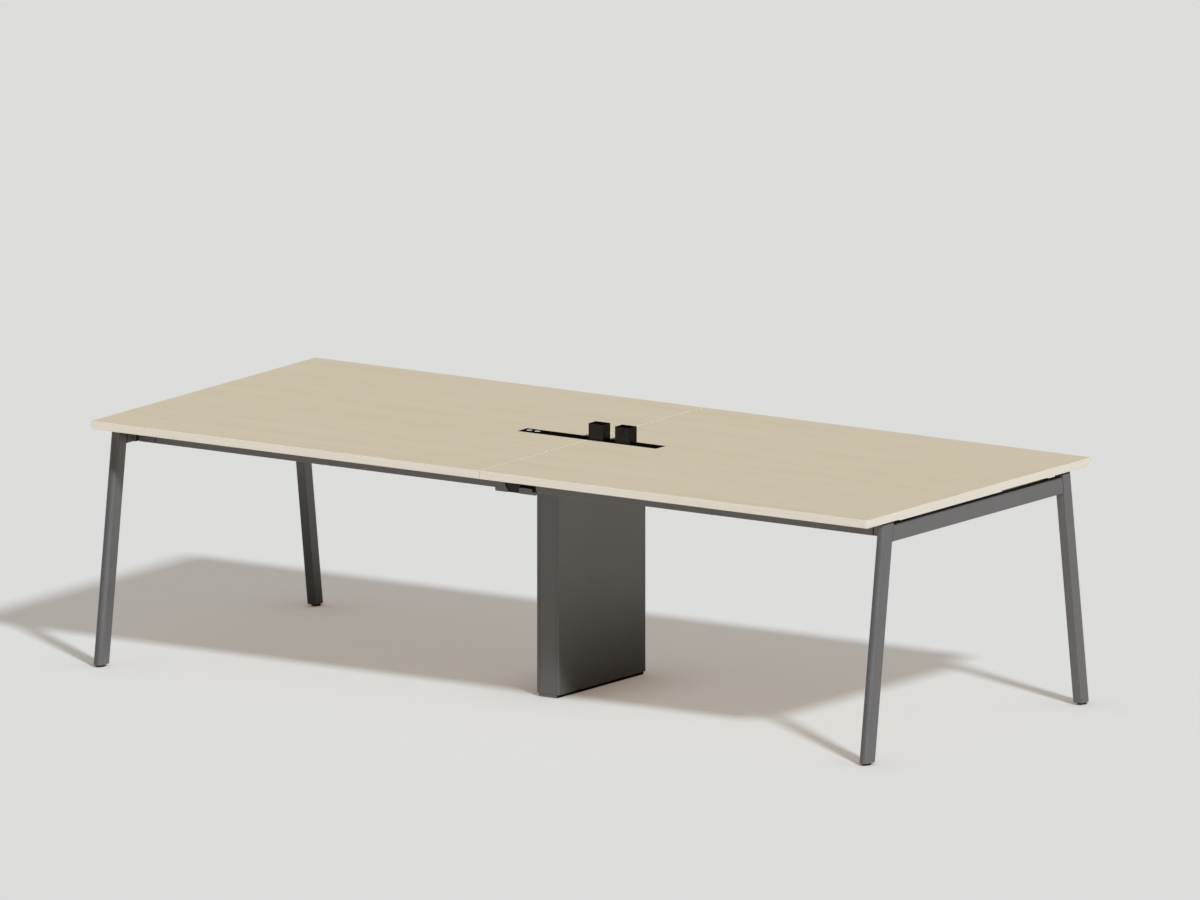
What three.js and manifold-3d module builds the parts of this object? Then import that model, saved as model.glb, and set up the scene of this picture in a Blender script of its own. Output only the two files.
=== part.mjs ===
// Conference table: two boards on a splayed steel frame, with a cable column and a power track.
// Millimetres, +Z up, X along the table. The origin lies on the floor under the middle of the top.

import * as THREE from 'three';
import { mergeVertices } from 'three/addons/utils/BufferGeometryUtils.js';
import Module from 'manifold-3d';

const wasm = await Module();
wasm.setup();

// Clearance between neighbouring pieces, and how far a cutting solid runs past what it cuts
const FIT = 0.3;
const OVERCUT = 1;

// Table top: two boards with edge bands, meeting at a seam across the middle
const TOP_LENGTH = 2800;
const TOP_WIDTH = 1200;
const TOP_HEIGHT = 750;
const TOP_THICKNESS = 25;
const SEAM_GAP = 1;
const BAND_THICKNESS = 1;
const GLUE_LINE = 0.1;

// Legs: D-section tubes, flat towards the table's middle, leaning in by the splay angle.
// Their outer faces would meet the floor a little outside the top's edge.
const LEG_WIDTH = 30;
const LEG_DEPTH = 50;
const LEG_WALL = 2;
const LEG_CORNER = 1.5;
const LEG_SPLAY = THREE.MathUtils.degToRad(8);
const LEG_END_INSET = 3;
const LEG_FLOOR_REACH = 3;
const PAD_HEIGHT = 6;
const PAD_PLUG = 12;
const FOOT_PLUG = 30;
const GLIDE_HEIGHT = 6;
const GLIDE_RADIUS = 14;
const GLIDE_CHAMFER = 1.5;
const STEM_RADIUS = 4;
const STEM_LENGTH = 24;

// Frame: rectangular tubes under the top
const TUBE_WIDTH = 30;
const TUBE_HEIGHT = 50;
const TUBE_WALL = 2;
const TUBE_CORNER = 3;
const FRAME_DROP = 13;
const RAIL_SETBACK = 188;
const CONNECTOR_LENGTH = 73;
const CONNECTOR_FLANGE = 6;
const CONNECTOR_COLLAR = 62;
const CONNECTOR_WAIST = 4;
const FLANGE_LIP = 8;
const SPIGOT_LENGTH = 40;
const SPACER_LENGTH = 60;
const SEAM_BLOCK_LENGTH = 80;
const SEAM_BLOCK_WIDTH = 60;

// Middle joint of each rail: a casting that holds the left rail, and a tongue in the right rail
const CAST_REACH = 66;
const CAST_WALL = 4;
const CAST_FLOOR = 9;
const CHEEK_TOP = 20;
const CHEEK_FOOT = 45;
const CAST_TAIL = 14;
const LIP_LENGTH = 46;
const LIP_HEIGHT = 18;
const RAIL_TUCK = 2;
const RAIL_GAP = 12;
const TONGUE_GRIP = 60;
const TONGUE_THICKNESS = 10;

// Cable column: two folded shells on a plinth, closed by a cover strip at each narrow side
const COLUMN_WIDTH = 80;
const COLUMN_DEPTH = 464;
const COLUMN_GAUGE = 1.5;
const COLUMN_CORNER = 2;
const COLUMN_RETURN = 10;
const COVER_FLANGE = 15;
const COVER_HEADROOM = 2;
const PLINTH_HEIGHT = 10;
const PLINTH_SIDE_INSET = 7;
const PLINTH_END_INSET = 1;
const BASE_PLATE = 3;
const HOLE_RIM = 10;
const HOLE_MARGIN = 35;
const POST_SIZE = 30;
const POST_WALL = 2;
const POST_INSET = 60;

// Power track: a slotted channel let into the top, with a port block at its left end.
// Its middle lies a little off the table's, and the ports lie behind its own middle line.
const TRACK_X = -4;
const TRACK_Y = 8;
const TRACK_LENGTH = 500;
const TRACK_WIDTH = 53;
const TRACK_BODY = 38;
const TRACK_FLANGE = 2;
const TRACK_WALL = 3;
const TRACK_LIP = 4;
const TRACK_SLOT = 12;
const TRACK_AIR = 3;
const CUT_CLEARANCE = 0.5;
const END_CAP = 10;
const PORT_LENGTH = 16;
const PORT_WIDTH = 15;
const PORT_DEPTH = 12;
const PORT_GAP = 13;
const PORT_MARGIN = 14;
const PORT_SETBACK = 5;
const PORT_TAIL = 10;
const PORT_SLOT_LENGTH = 9;
const PORT_SLOT_WIDTH = 3.2;
const PORT_SLOT_DEPTH = 7;
const GLAND_RADIUS = 8;
const GLAND_LENGTH = 25;

// Track sockets: a block on a sliding carriage, held by a foot that turns under the track's lips.
// Their places are counted from the track's middle.
const SOCKET_LENGTH = 53;
const SOCKET_DEPTH = 40;
const SOCKET_HEIGHT = 50;
const SOCKET_CORNER = 1.5;
const SOCKETS = [
  { side: 'left', place: 28, turn: Math.PI },
  { side: 'right', place: 123.5, turn: 0 },
];
const CARRIAGE_HEIGHT = 4;
const CARRIAGE_KEY = 30;
const KEY_WALL = 1.4;
const FOOT_HEIGHT = 8;
const FOOT_SIDE_PLAY = 3;
const FOOT_SLOT_PLAY = 1.5;
const FACE_MARGIN = 3;
const FACE_DEPTH = 2;
const PIN_SLOT_LENGTH = 8;
const PIN_SLOT_WIDTH = 2.4;
const PIN_PITCH = 14;
const PIN_TILT = THREE.MathUtils.degToRad(50);
const SLANT_RISE = 13;
const EARTH_RISE = 7;
const PAIR_DROP = 1;

// Straight pieces of an arc
const CORNER_STEPS = 3;
const LEG_STEPS = 8;
const ROUND_STEPS = 24;

// Levels and planes that several pieces share
const UNDERSIDE = TOP_HEIGHT - TOP_THICKNESS;
const FRAME_TOP = UNDERSIDE - FRAME_DROP;
const FRAME_FOOT = FRAME_TOP - TUBE_HEIGHT;
const LEG_TOP = UNDERSIDE - PAD_HEIGHT;
const LEG_FOOT = GLIDE_HEIGHT + FIT;
const FRAME_END = TOP_LENGTH / 2 - LEG_END_INSET;
const LEG_PLACE = FRAME_END - LEG_WIDTH / 2;
const BAR_FACE = FRAME_END - TUBE_WIDTH;
const RAIL_END = BAR_FACE - CONNECTOR_LENGTH;
const RAIL_FRONT = TOP_WIDTH / 2 - RAIL_SETBACK;
const RAIL_BACK = RAIL_FRONT - TUBE_WIDTH;
const CAST_FRONT = RAIL_FRONT + CAST_WALL;
const CAST_BACK = RAIL_BACK - CAST_WALL;
const CAST_FOOT = FRAME_FOOT - CAST_FLOOR;
const RIGHT_RAIL_START = CAST_REACH + RAIL_GAP;
const LEFT_RAIL_START = CAST_REACH - CHEEK_TOP + RAIL_TUCK;
const COLUMN_HALF = COLUMN_WIDTH / 2;
const COLUMN_FRONT = COLUMN_DEPTH / 2;
const POST_PLACE = COLUMN_FRONT - POST_INSET;
const POST_FOOT = PLINTH_HEIGHT + BASE_PLATE;
const FLANGE_LEVEL = TOP_HEIGHT - TRACK_FLANGE;
const LIP_LEVEL = TOP_HEIGHT - TRACK_LIP;
const TRACK_FOOT = FRAME_TOP + TRACK_AIR;
const TRACK_END = TRACK_LENGTH / 2;
const PORT_BLOCK_END = -TRACK_END + PORT_MARGIN + 2 * PORT_LENGTH + PORT_GAP + PORT_TAIL;
const CARRIAGE_FOOT = TOP_HEIGHT + FIT;
const CARRIAGE_TOP = CARRIAGE_FOOT + CARRIAGE_HEIGHT;
const SOCKET_FOOT = CARRIAGE_TOP + FIT;
const SOCKET_TOP = TOP_HEIGHT + SOCKET_HEIGHT;
const NECK_RADIUS = TRACK_SLOT / 2 - 2 * FIT - KEY_WALL;

// Finishes
const OAK_LAMINATE = { color: '#d2c5aa', roughness: 0.55, metalness: 0 };
const EDGE_BAND = { color: '#e3dac6', roughness: 0.5, metalness: 0 };
const GREY_STEEL = { color: '#6f6f6e', roughness: 0.6, metalness: 0.2 };
const BLACK_STEEL = { color: '#2a2a2a', roughness: 0.6, metalness: 0.2 };
const BLACK_ANODISED = { color: '#1b1a19', roughness: 0.5, metalness: 0.6 };
const BLACK_PLASTIC = { color: '#141311', roughness: 0.45, metalness: 0 };
const WHITE_PLASTIC = { color: '#e8e8e6', roughness: 0.4, metalness: 0 };

// Leaves only shared positions, without the empty triangles at a lathe's poles.
function weld(geometry) {
  geometry.deleteAttribute('normal');
  geometry.deleteAttribute('uv');
  const merged = mergeVertices(geometry);
  const source = merged.index.array;
  const kept = [];
  for (let i = 0; i < source.length; i += 3) {
    const [a, b, c] = source.slice(i, i + 3);
    if (a !== b && b !== c && c !== a) kept.push(a, b, c);
  }
  merged.setIndex(kept);
  return merged;
}

function toSolid(geometry) {
  const vertProperties = new Float32Array(geometry.getAttribute('position').array);
  const triVerts = new Uint32Array(geometry.index.array);
  return new wasm.Manifold(new wasm.Mesh({ numProp: 3, vertProperties, triVerts }));
}

function toGeometry(solid) {
  const mesh = solid.getMesh();
  const geometry = new THREE.BufferGeometry();
  geometry.setAttribute('position', new THREE.BufferAttribute(mesh.vertProperties, mesh.numProp));
  geometry.setIndex(new THREE.BufferAttribute(mesh.triVerts, 1));
  return geometry;
}

function join(...pieces) {
  return toGeometry(pieces.map(toSolid).reduce((whole, piece) => whole.add(piece)));
}

function cut(body, ...tools) {
  return toGeometry(tools.map(toSolid).reduce((rest, tool) => rest.subtract(tool), toSolid(body)));
}

// A box between two values on each axis, given in either order.
function box(x0, x1, y0, y1, z0, z1) {
  const geometry = new THREE.BoxGeometry(1, 1, 1);
  const position = geometry.getAttribute('position');
  const pick = (value, a, b) => (value < 0 ? Math.min(a, b) : Math.max(a, b));
  for (let i = 0; i < position.count; i += 1) {
    const x = pick(position.getX(i), x0, x1);
    const y = pick(position.getY(i), y0, y1);
    const z = pick(position.getZ(i), z0, z1);
    position.setXYZ(i, x, y, z);
  }
  return weld(geometry);
}

// Extrudes a shape between two levels. place(u, v, level) gives each corner its position.
function extrude(shape, from, to, place, curveSegments = CORNER_STEPS) {
  const settings = { depth: 1, bevelEnabled: false, curveSegments };
  const geometry = new THREE.ExtrudeGeometry(shape, settings);
  const position = geometry.getAttribute('position');
  for (let i = 0; i < position.count; i += 1) {
    const level = position.getZ(i) < 0.5 ? Math.min(from, to) : Math.max(from, to);
    position.setXYZ(i, ...place(position.getX(i), position.getY(i), level));
  }
  return weld(geometry);
}

// Sections are drawn in (y, z) along X, in (z, x) along Y and in (x, y) along Z.
const alongX = (shape, x0, x1) => extrude(shape, x0, x1, (y, z, x) => [x, y, z]);
const alongY = (shape, y0, y1) => extrude(shape, y0, y1, (z, x, y) => [x, y, z]);
const alongZ = (shape, z0, z1) => extrude(shape, z0, z1, (x, y, z) => [x, y, z]);

// A straight-sided outline, always anticlockwise.
function polygon(points) {
  const outline = points.map(([u, v]) => new THREE.Vector2(u, v));
  if (THREE.ShapeUtils.isClockWise(outline)) outline.reverse();
  return new THREE.Shape(outline);
}

function roundedRect(u0, u1, v0, v1, radius) {
  const shape = new THREE.Shape();
  const quarter = Math.PI / 2;
  shape.absarc(u1 - radius, v0 + radius, radius, -quarter, 0);
  shape.absarc(u1 - radius, v1 - radius, radius, 0, quarter);
  shape.absarc(u0 + radius, v1 - radius, radius, quarter, 2 * quarter);
  shape.absarc(u0 + radius, v0 + radius, radius, 2 * quarter, 3 * quarter);
  return shape;
}

// The corner radius inside a wall stays a little above nothing.
const innerRadius = (radius, wall) => Math.max(radius - wall, wall / 4);

function tubeSection(u0, u1, v0, v1, radius, wall) {
  const shape = roundedRect(u0, u1, v0, v1, radius);
  const inside = innerRadius(radius, wall);
  shape.holes.push(roundedRect(u0 + wall, u1 - wall, v0 + wall, v1 - wall, inside));
  return shape;
}

function cylinder(radius, x, y, z0, z1) {
  const geometry = new THREE.CylinderGeometry(radius, radius, z1 - z0, ROUND_STEPS);
  geometry.rotateX(Math.PI / 2);
  geometry.translate(x, y, (z0 + z1) / 2);
  return weld(geometry);
}

function addPart(parent, name, geometry, finish) {
  geometry.computeVertexNormals();
  const mesh = new THREE.Mesh(geometry, new THREE.MeshStandardMaterial(finish));
  mesh.name = name;
  parent.add(mesh);
}

// The front half is modelled where it stands. The rear half is the same, turned about the middle.
// The track and its sockets are modelled about the track's middle.
const table = new THREE.Group();
const frontGroup = new THREE.Group();
const rearGroup = new THREE.Group();
rearGroup.rotation.z = Math.PI;
table.add(frontGroup, rearGroup);
const trackGroup = new THREE.Group();
trackGroup.position.set(TRACK_X, TRACK_Y, 0);
table.add(trackGroup);
const HALVES = [
  { group: frontGroup, name: 'front', turn: 1 },
  { group: rearGroup, name: 'rear', turn: -1 },
];
const ENDS = [-1, 1];
const sideName = (end) => (end < 0 ? 'left' : 'right');

// Table top

// The opening in the boards for the track's body, with a rebate for its flange.
function trackOpening() {
  const reach = TRACK_END + CUT_CLEARANCE;
  const body = TRACK_BODY / 2 + CUT_CLEARANCE;
  const flange = TRACK_WIDTH / 2 + CUT_CLEARANCE;
  const through = box(-reach, reach, -body, body, UNDERSIDE - OVERCUT, TOP_HEIGHT + OVERCUT);
  const rebate = box(-reach, reach, -flange, flange, FLANGE_LEVEL, TOP_HEIGHT + OVERCUT);
  return [through, rebate].map((tool) => tool.translate(TRACK_X, TRACK_Y, 0));
}

function boardOutline(end, inset) {
  const seam = end * (SEAM_GAP / 2 + inset);
  const far = end * (TOP_LENGTH / 2 - inset);
  const side = TOP_WIDTH / 2 - inset;
  return [[seam, -side], [far, -side], [far, side], [seam, side]];
}

function buildTop() {
  for (const end of ENDS) {
    const core = alongZ(polygon(boardOutline(end, BAND_THICKNESS + GLUE_LINE)), UNDERSIDE, TOP_HEIGHT);
    addPart(table, `top_panel_${sideName(end)}`, cut(core, ...trackOpening()), OAK_LAMINATE);

    const ring = polygon(boardOutline(end, 0));
    ring.holes.push(polygon(boardOutline(end, BAND_THICKNESS)));
    const band = cut(alongZ(ring, UNDERSIDE, TOP_HEIGHT), ...trackOpening());
    addPart(table, `edge_band_${sideName(end)}`, band, EDGE_BAND);
  }
}

// Legs

// Outer face of a front leg at a height, and how far its section reaches in from there.
const legOuter = (z) => Math.tan(LEG_SPLAY) * z - (TOP_WIDTH / 2 + LEG_FLOOR_REACH);
const legInner = (z) => legOuter(z) + LEG_DEPTH / Math.cos(LEG_SPLAY);
const legMiddle = (z) => (legOuter(z) + legInner(z)) / 2;

// The leg's section: u across the leg, v from its round outer side to its flat inner side.
function legSection(inset) {
  const half = LEG_WIDTH / 2 - inset;
  const flat = LEG_DEPTH - inset;
  const corner = inset > 0 ? innerRadius(LEG_CORNER, inset) : LEG_CORNER;
  const shape = new THREE.Shape();
  shape.absarc(0, LEG_WIDTH / 2, half, Math.PI, 2 * Math.PI);
  shape.absarc(half - corner, flat - corner, corner, 0, Math.PI / 2);
  shape.absarc(corner - half, flat - corner, corner, Math.PI / 2, Math.PI);
  return shape;
}

function alongLeg(section, x, z0, z1) {
  const place = (u, v, z) => [x + u, legOuter(z) + v / Math.cos(LEG_SPLAY), z];
  return extrude(section, z0, z1, place, LEG_STEPS);
}

function glide(x, y) {
  const stemTop = GLIDE_HEIGHT + STEM_LENGTH;
  const profile = [
    [0, 0],
    [GLIDE_RADIUS - GLIDE_CHAMFER, 0],
    [GLIDE_RADIUS, GLIDE_CHAMFER],
    [GLIDE_RADIUS, GLIDE_HEIGHT],
    [STEM_RADIUS, GLIDE_HEIGHT],
    [STEM_RADIUS, stemTop],
    [0, stemTop],
  ];
  const points = profile.map(([radius, z]) => new THREE.Vector2(radius, z));
  const geometry = new THREE.LatheGeometry(points, ROUND_STEPS);
  geometry.rotateX(Math.PI / 2);
  geometry.translate(x, y, 0);
  return weld(geometry);
}

function buildLegs() {
  for (const half of HALVES) {
    for (const end of ENDS) {
      const corner = `${half.name}_${sideName(end * half.turn)}`;
      const x = end * LEG_PLACE;
      const tube = legSection(0);
      tube.holes.push(legSection(LEG_WALL));
      addPart(half.group, `leg_${corner}`, alongLeg(tube, x, LEG_FOOT, LEG_TOP), GREY_STEEL);

      const inside = legSection(LEG_WALL + FIT);
      const flange = alongLeg(legSection(0), x, LEG_TOP, UNDERSIDE);
      const pad = join(flange, alongLeg(inside, x, LEG_TOP - PAD_PLUG, LEG_TOP));
      addPart(half.group, `leg_top_pad_${corner}`, pad, BLACK_PLASTIC);

      const y = legMiddle(GLIDE_HEIGHT);
      const plugTop = LEG_FOOT + FOOT_PLUG;
      const bore = cylinder(STEM_RADIUS + FIT, x, y, 0, plugTop + OVERCUT);
      const plug = cut(alongLeg(inside, x, LEG_FOOT, plugTop), bore);
      addPart(half.group, `leg_foot_plug_${corner}`, plug, BLACK_PLASTIC);
      addPart(half.group, `leg_glide_${corner}`, glide(x, y), BLACK_PLASTIC);
    }
  }
}

// Frame

// The crossbar's ends follow the slope of the legs' flat inner faces.
function crossbar(end) {
  const inner = end * BAR_FACE;
  const outer = end * FRAME_END;
  const x0 = Math.min(inner, outer);
  const x1 = Math.max(inner, outer);
  const section = tubeSection(FRAME_FOOT, FRAME_TOP, x0, x1, TUBE_CORNER, TUBE_WALL);
  return extrude(section, -1, 1, (z, x, side) => [x, side * (-legInner(z) - FIT), z]);
}

// A front rail's section, shrunk by an inset on every side.
function railSection(inset) {
  const radius = inset > 0 ? innerRadius(TUBE_CORNER, inset) : TUBE_CORNER;
  return roundedRect(
    inset - RAIL_FRONT, -RAIL_BACK - inset, FRAME_FOOT + inset, FRAME_TOP - inset, radius,
  );
}

// A flange bolted to the crossbar, a waist, a collar of the rail's size and a spigot in the rail.
function railConnector(end) {
  const flangeFace = end * (BAR_FACE - CONNECTOR_FLANGE);
  const flangeFront = -RAIL_FRONT - FLANGE_LIP;
  const flangeBack = -RAIL_BACK + FLANGE_LIP;
  const flange = box(end * BAR_FACE, flangeFace, flangeFront, flangeBack, FRAME_FOOT, FRAME_TOP);
  const collarStart = RAIL_END + CONNECTOR_COLLAR;
  const waist = alongX(railSection(CONNECTOR_WAIST), end * BAR_FACE, end * RAIL_END);
  const collar = alongX(railSection(0), end * collarStart, end * RAIL_END);
  const spigot = alongX(railSection(TUBE_WALL + FIT), end * BAR_FACE, end * (RAIL_END - SPIGOT_LENGTH));
  return join(flange, waist, collar, spigot);
}

function sideRail(end) {
  const section = railSection(0);
  section.holes.push(railSection(TUBE_WALL));
  const start = end < 0 ? -LEFT_RAIL_START : RIGHT_RAIL_START;
  return alongX(section, start, end * (RAIL_END - FIT));
}

function railSpacer(end) {
  const middle = end * (RIGHT_RAIL_START + RAIL_END) / 2;
  const half = SPACER_LENGTH / 2;
  return box(middle - half, middle + half, -RAIL_FRONT, -RAIL_BACK, FRAME_TOP, UNDERSIDE);
}

// A tray under both rails: a tall cheek at the left, a low lip at the right and a notch between.
function midCasting() {
  const floorTop = FRAME_FOOT - FIT;
  const shelfTop = FRAME_FOOT + TUBE_WALL;
  const skin = -RAIL_FRONT - FIT;
  const lipStart = CAST_REACH - LIP_LENGTH;
  const tail = CAST_REACH + CAST_TAIL;
  const cheekFoot = CHEEK_FOOT - CAST_REACH;
  const cheekTop = CHEEK_TOP - CAST_REACH;
  const floor = box(-CAST_REACH, tail, -CAST_FRONT, -CAST_BACK, CAST_FOOT, floorTop);
  const shelf = box(lipStart, CAST_REACH, -RAIL_FRONT, -CAST_BACK, CAST_FOOT, shelfTop);
  const wall = box(-CAST_REACH, tail, FIT - RAIL_BACK, -CAST_BACK, CAST_FOOT, FRAME_TOP);
  const lip = box(lipStart, CAST_REACH, -CAST_FRONT, skin, CAST_FOOT, CAST_FOOT + LIP_HEIGHT);
  const cheekShape = polygon([
    [CAST_FOOT, -CAST_REACH],
    [CAST_FOOT, cheekFoot],
    [FRAME_TOP, cheekTop],
    [FRAME_TOP, -CAST_REACH],
  ]);
  const cheek = alongY(cheekShape, -CAST_FRONT, skin);
  const middle = -(RAIL_FRONT + RAIL_BACK) / 2;
  const notchFront = -CAST_FRONT - OVERCUT;
  const notch = box(cheekFoot, lipStart, notchFront, middle, CAST_FOOT - OVERCUT, floorTop + OVERCUT);
  return cut(join(floor, shelf, wall, lip, cheek), notch);
}

// A bar in the right rail, with a head in the gap between the rails and a foot in the tray's notch.
function railTongue() {
  const inset = TUBE_WALL + FIT;
  const front = -RAIL_FRONT;
  const back = -RAIL_BACK - inset;
  const middle = -(RAIL_FRONT + RAIL_BACK) / 2;
  const start = FIT - LEFT_RAIL_START;
  const footStart = CHEEK_FOOT - CAST_REACH + FIT;
  const headEnd = CAST_REACH - LIP_LENGTH - FIT;
  const barEnd = RIGHT_RAIL_START + TONGUE_GRIP;
  const bar = box(start, barEnd, back - TONGUE_THICKNESS, back, FRAME_FOOT + inset, FRAME_TOP - inset);
  const head = box(start, headEnd, front, back, FRAME_FOOT, FRAME_TOP);
  const foot = box(footStart, headEnd, front, middle - FIT, CAST_FOOT, FRAME_FOOT + OVERCUT);
  return join(bar, head, foot);
}

function buildFrame() {
  for (const end of ENDS) addPart(table, `crossbar_${sideName(end)}`, crossbar(end), GREY_STEEL);

  for (const half of HALVES) {
    for (const end of ENDS) {
      const corner = `${half.name}_${sideName(end * half.turn)}`;
      addPart(half.group, `rail_connector_${corner}`, railConnector(end), GREY_STEEL);
      addPart(half.group, `side_rail_${corner}`, sideRail(end), GREY_STEEL);
      addPart(half.group, `rail_spacer_${corner}`, railSpacer(end), BLACK_STEEL);
    }
    addPart(half.group, `mid_casting_${half.name}`, midCasting(), GREY_STEEL);
    addPart(half.group, `rail_tongue_${half.name}`, railTongue(), BLACK_STEEL);

    const blockMiddle = -(COLUMN_FRONT + RAIL_BACK) / 2;
    const blockX = SEAM_BLOCK_LENGTH / 2;
    const blockY = SEAM_BLOCK_WIDTH / 2;
    const block = box(-blockX, blockX, blockMiddle - blockY, blockMiddle + blockY, FRAME_TOP, UNDERSIDE);
    addPart(half.group, `seam_block_${half.name}`, block, BLACK_STEEL);
  }

  const halfTube = TUBE_WIDTH / 2;
  const beamEnd = CAST_BACK - FIT;
  const beam = tubeSection(FRAME_FOOT, FRAME_TOP, -halfTube, halfTube, TUBE_CORNER, TUBE_WALL);
  addPart(table, 'mid_beam', alongY(beam, -beamEnd, beamEnd), GREY_STEEL);
}

// Cable column

// One side of the column in plan: a long wall with a short return at each end.
function shellSection() {
  const edge = COLUMN_HALF - COLUMN_RETURN;
  const x = COLUMN_HALF - COLUMN_CORNER;
  const y = COLUMN_FRONT - COLUMN_CORNER;
  const inside = innerRadius(COLUMN_CORNER, COLUMN_GAUGE);
  const inX = COLUMN_HALF - COLUMN_GAUGE - inside;
  const inY = COLUMN_FRONT - COLUMN_GAUGE - inside;
  const quarter = Math.PI / 2;
  const shape = new THREE.Shape();
  shape.moveTo(edge, -COLUMN_FRONT);
  shape.absarc(x, -y, COLUMN_CORNER, -quarter, 0);
  shape.absarc(x, y, COLUMN_CORNER, 0, quarter);
  shape.lineTo(edge, COLUMN_FRONT);
  shape.lineTo(edge, COLUMN_FRONT - COLUMN_GAUGE);
  shape.absarc(inX, inY, inside, quarter, 0, true);
  shape.absarc(inX, -inY, inside, 0, -quarter, true);
  shape.lineTo(edge, COLUMN_GAUGE - COLUMN_FRONT);
  return shape;
}

// A cover strip in plan: a face between the shells' returns, with a flange at each edge.
function coverSection() {
  const edge = COLUMN_HALF - COLUMN_RETURN - FIT;
  const inside = edge - COLUMN_GAUGE;
  const face = -COLUMN_FRONT;
  const flange = face + COVER_FLANGE;
  return polygon([
    [-edge, face],
    [edge, face],
    [edge, flange],
    [inside, flange],
    [inside, face + COLUMN_GAUGE],
    [-inside, face + COLUMN_GAUGE],
    [-inside, flange],
    [-edge, flange],
  ]);
}

function columnPlinth() {
  const footX = COLUMN_HALF - PLINTH_SIDE_INSET;
  const footY = COLUMN_FRONT - PLINTH_END_INSET;
  const plateX = COLUMN_HALF - COLUMN_GAUGE - FIT;
  const plateY = COLUMN_FRONT - COVER_FLANGE - FIT;
  const holeX = footX - HOLE_RIM;
  const holeY = POST_PLACE - POST_SIZE / 2 - HOLE_MARGIN;
  const foot = box(-footX, footX, -footY, footY, 0, PLINTH_HEIGHT);
  const plate = box(-plateX, plateX, -plateY, plateY, PLINTH_HEIGHT, POST_FOOT);
  const hole = box(-holeX, holeX, -holeY, holeY, -OVERCUT, POST_FOOT + OVERCUT);
  return cut(join(foot, plate), hole);
}

function buildColumn() {
  const coverFoot = PLINTH_HEIGHT + FIT;
  const coverTop = FRAME_FOOT - COVER_HEADROOM;
  const halfPost = POST_SIZE / 2;
  addPart(table, 'column_plinth', columnPlinth(), GREY_STEEL);

  for (const half of HALVES) {
    const shell = alongZ(shellSection(), PLINTH_HEIGHT, FRAME_TOP);
    addPart(half.group, `column_shell_${sideName(half.turn)}`, shell, GREY_STEEL);

    const cover = alongZ(coverSection(), coverFoot, coverTop);
    addPart(half.group, `column_cover_${half.name}`, cover, GREY_STEEL);

    const section = tubeSection(
      -halfPost, halfPost, -POST_PLACE - halfPost, halfPost - POST_PLACE, TUBE_CORNER, POST_WALL,
    );
    addPart(half.group, `column_post_${half.name}`, alongZ(section, POST_FOOT, FRAME_FOOT), BLACK_STEEL);
  }
}

// Power track

// The track's outline in (y, z), solid for the end pieces.
function trackOutline() {
  const flange = TRACK_WIDTH / 2;
  const body = TRACK_BODY / 2;
  return [
    [-flange, TOP_HEIGHT],
    [-flange, FLANGE_LEVEL],
    [-body, FLANGE_LEVEL],
    [-body, TRACK_FOOT],
    [body, TRACK_FOOT],
    [body, FLANGE_LEVEL],
    [flange, FLANGE_LEVEL],
    [flange, TOP_HEIGHT],
  ];
}

function trackChannel() {
  const slot = TRACK_SLOT / 2;
  const inside = TRACK_BODY / 2 - TRACK_WALL;
  const floor = TRACK_FOOT + TRACK_WALL;
  const hollow = [
    [slot, TOP_HEIGHT],
    [slot, LIP_LEVEL],
    [inside, LIP_LEVEL],
    [inside, floor],
    [-inside, floor],
    [-inside, LIP_LEVEL],
    [-slot, LIP_LEVEL],
    [-slot, TOP_HEIGHT],
  ];
  const section = polygon([...trackOutline(), ...hollow]);
  return alongX(section, PORT_BLOCK_END + FIT, TRACK_END - END_CAP - FIT);
}

function portBlock(pockets) {
  return cut(alongX(polygon(trackOutline()), -TRACK_END, PORT_BLOCK_END), ...pockets);
}

// A port, or the pocket for it when it is grown by the clearance.
function portBody(start, grow, top) {
  const front = PORT_SETBACK - PORT_WIDTH / 2 - grow;
  const back = PORT_SETBACK + PORT_WIDTH / 2 + grow;
  const foot = TOP_HEIGHT - PORT_DEPTH - grow;
  return box(start - grow, start + PORT_LENGTH + grow, front, back, foot, top);
}

function port(start) {
  const middle = start + PORT_LENGTH / 2;
  const slotX = PORT_SLOT_LENGTH / 2;
  const slotFront = PORT_SETBACK - PORT_SLOT_WIDTH / 2;
  const slotBack = PORT_SETBACK + PORT_SLOT_WIDTH / 2;
  const slotFoot = TOP_HEIGHT - PORT_SLOT_DEPTH;
  const slot = box(middle - slotX, middle + slotX, slotFront, slotBack, slotFoot, TOP_HEIGHT + OVERCUT);
  return cut(portBody(start, 0, TOP_HEIGHT), slot);
}

function buildTrack() {
  const firstPort = PORT_MARGIN - TRACK_END;
  const portStarts = [firstPort, firstPort + PORT_LENGTH + PORT_GAP];
  const pockets = portStarts.map((start) => portBody(start, FIT, TOP_HEIGHT + OVERCUT));
  const capStart = TRACK_END - END_CAP;
  const glandX = (TUBE_WIDTH / 2 + COLUMN_HALF - COLUMN_GAUGE) / 2 - TRACK_X;
  addPart(trackGroup, 'power_track', trackChannel(), BLACK_ANODISED);
  addPart(trackGroup, 'track_port_block', portBlock(pockets), BLACK_PLASTIC);
  addPart(trackGroup, 'track_end_cap', alongX(polygon(trackOutline()), capStart, TRACK_END), BLACK_PLASTIC);
  portStarts.forEach((start, i) => addPart(trackGroup, `charging_port_${i + 1}`, port(start), WHITE_PLASTIC));

  const gland = cylinder(GLAND_RADIUS, glandX, 0, TRACK_FOOT - GLAND_LENGTH, TRACK_FOOT - FIT);
  addPart(trackGroup, 'track_cable_gland', gland, BLACK_PLASTIC);
}

// Track sockets, modelled at the track's middle and then moved to their places

// The socket's outline in plan.
function socketBlock(z0, z1) {
  const x = SOCKET_LENGTH / 2;
  const y = SOCKET_DEPTH / 2;
  return alongZ(roundedRect(-x, x, -y, y, SOCKET_CORNER), z0, z1);
}

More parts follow.
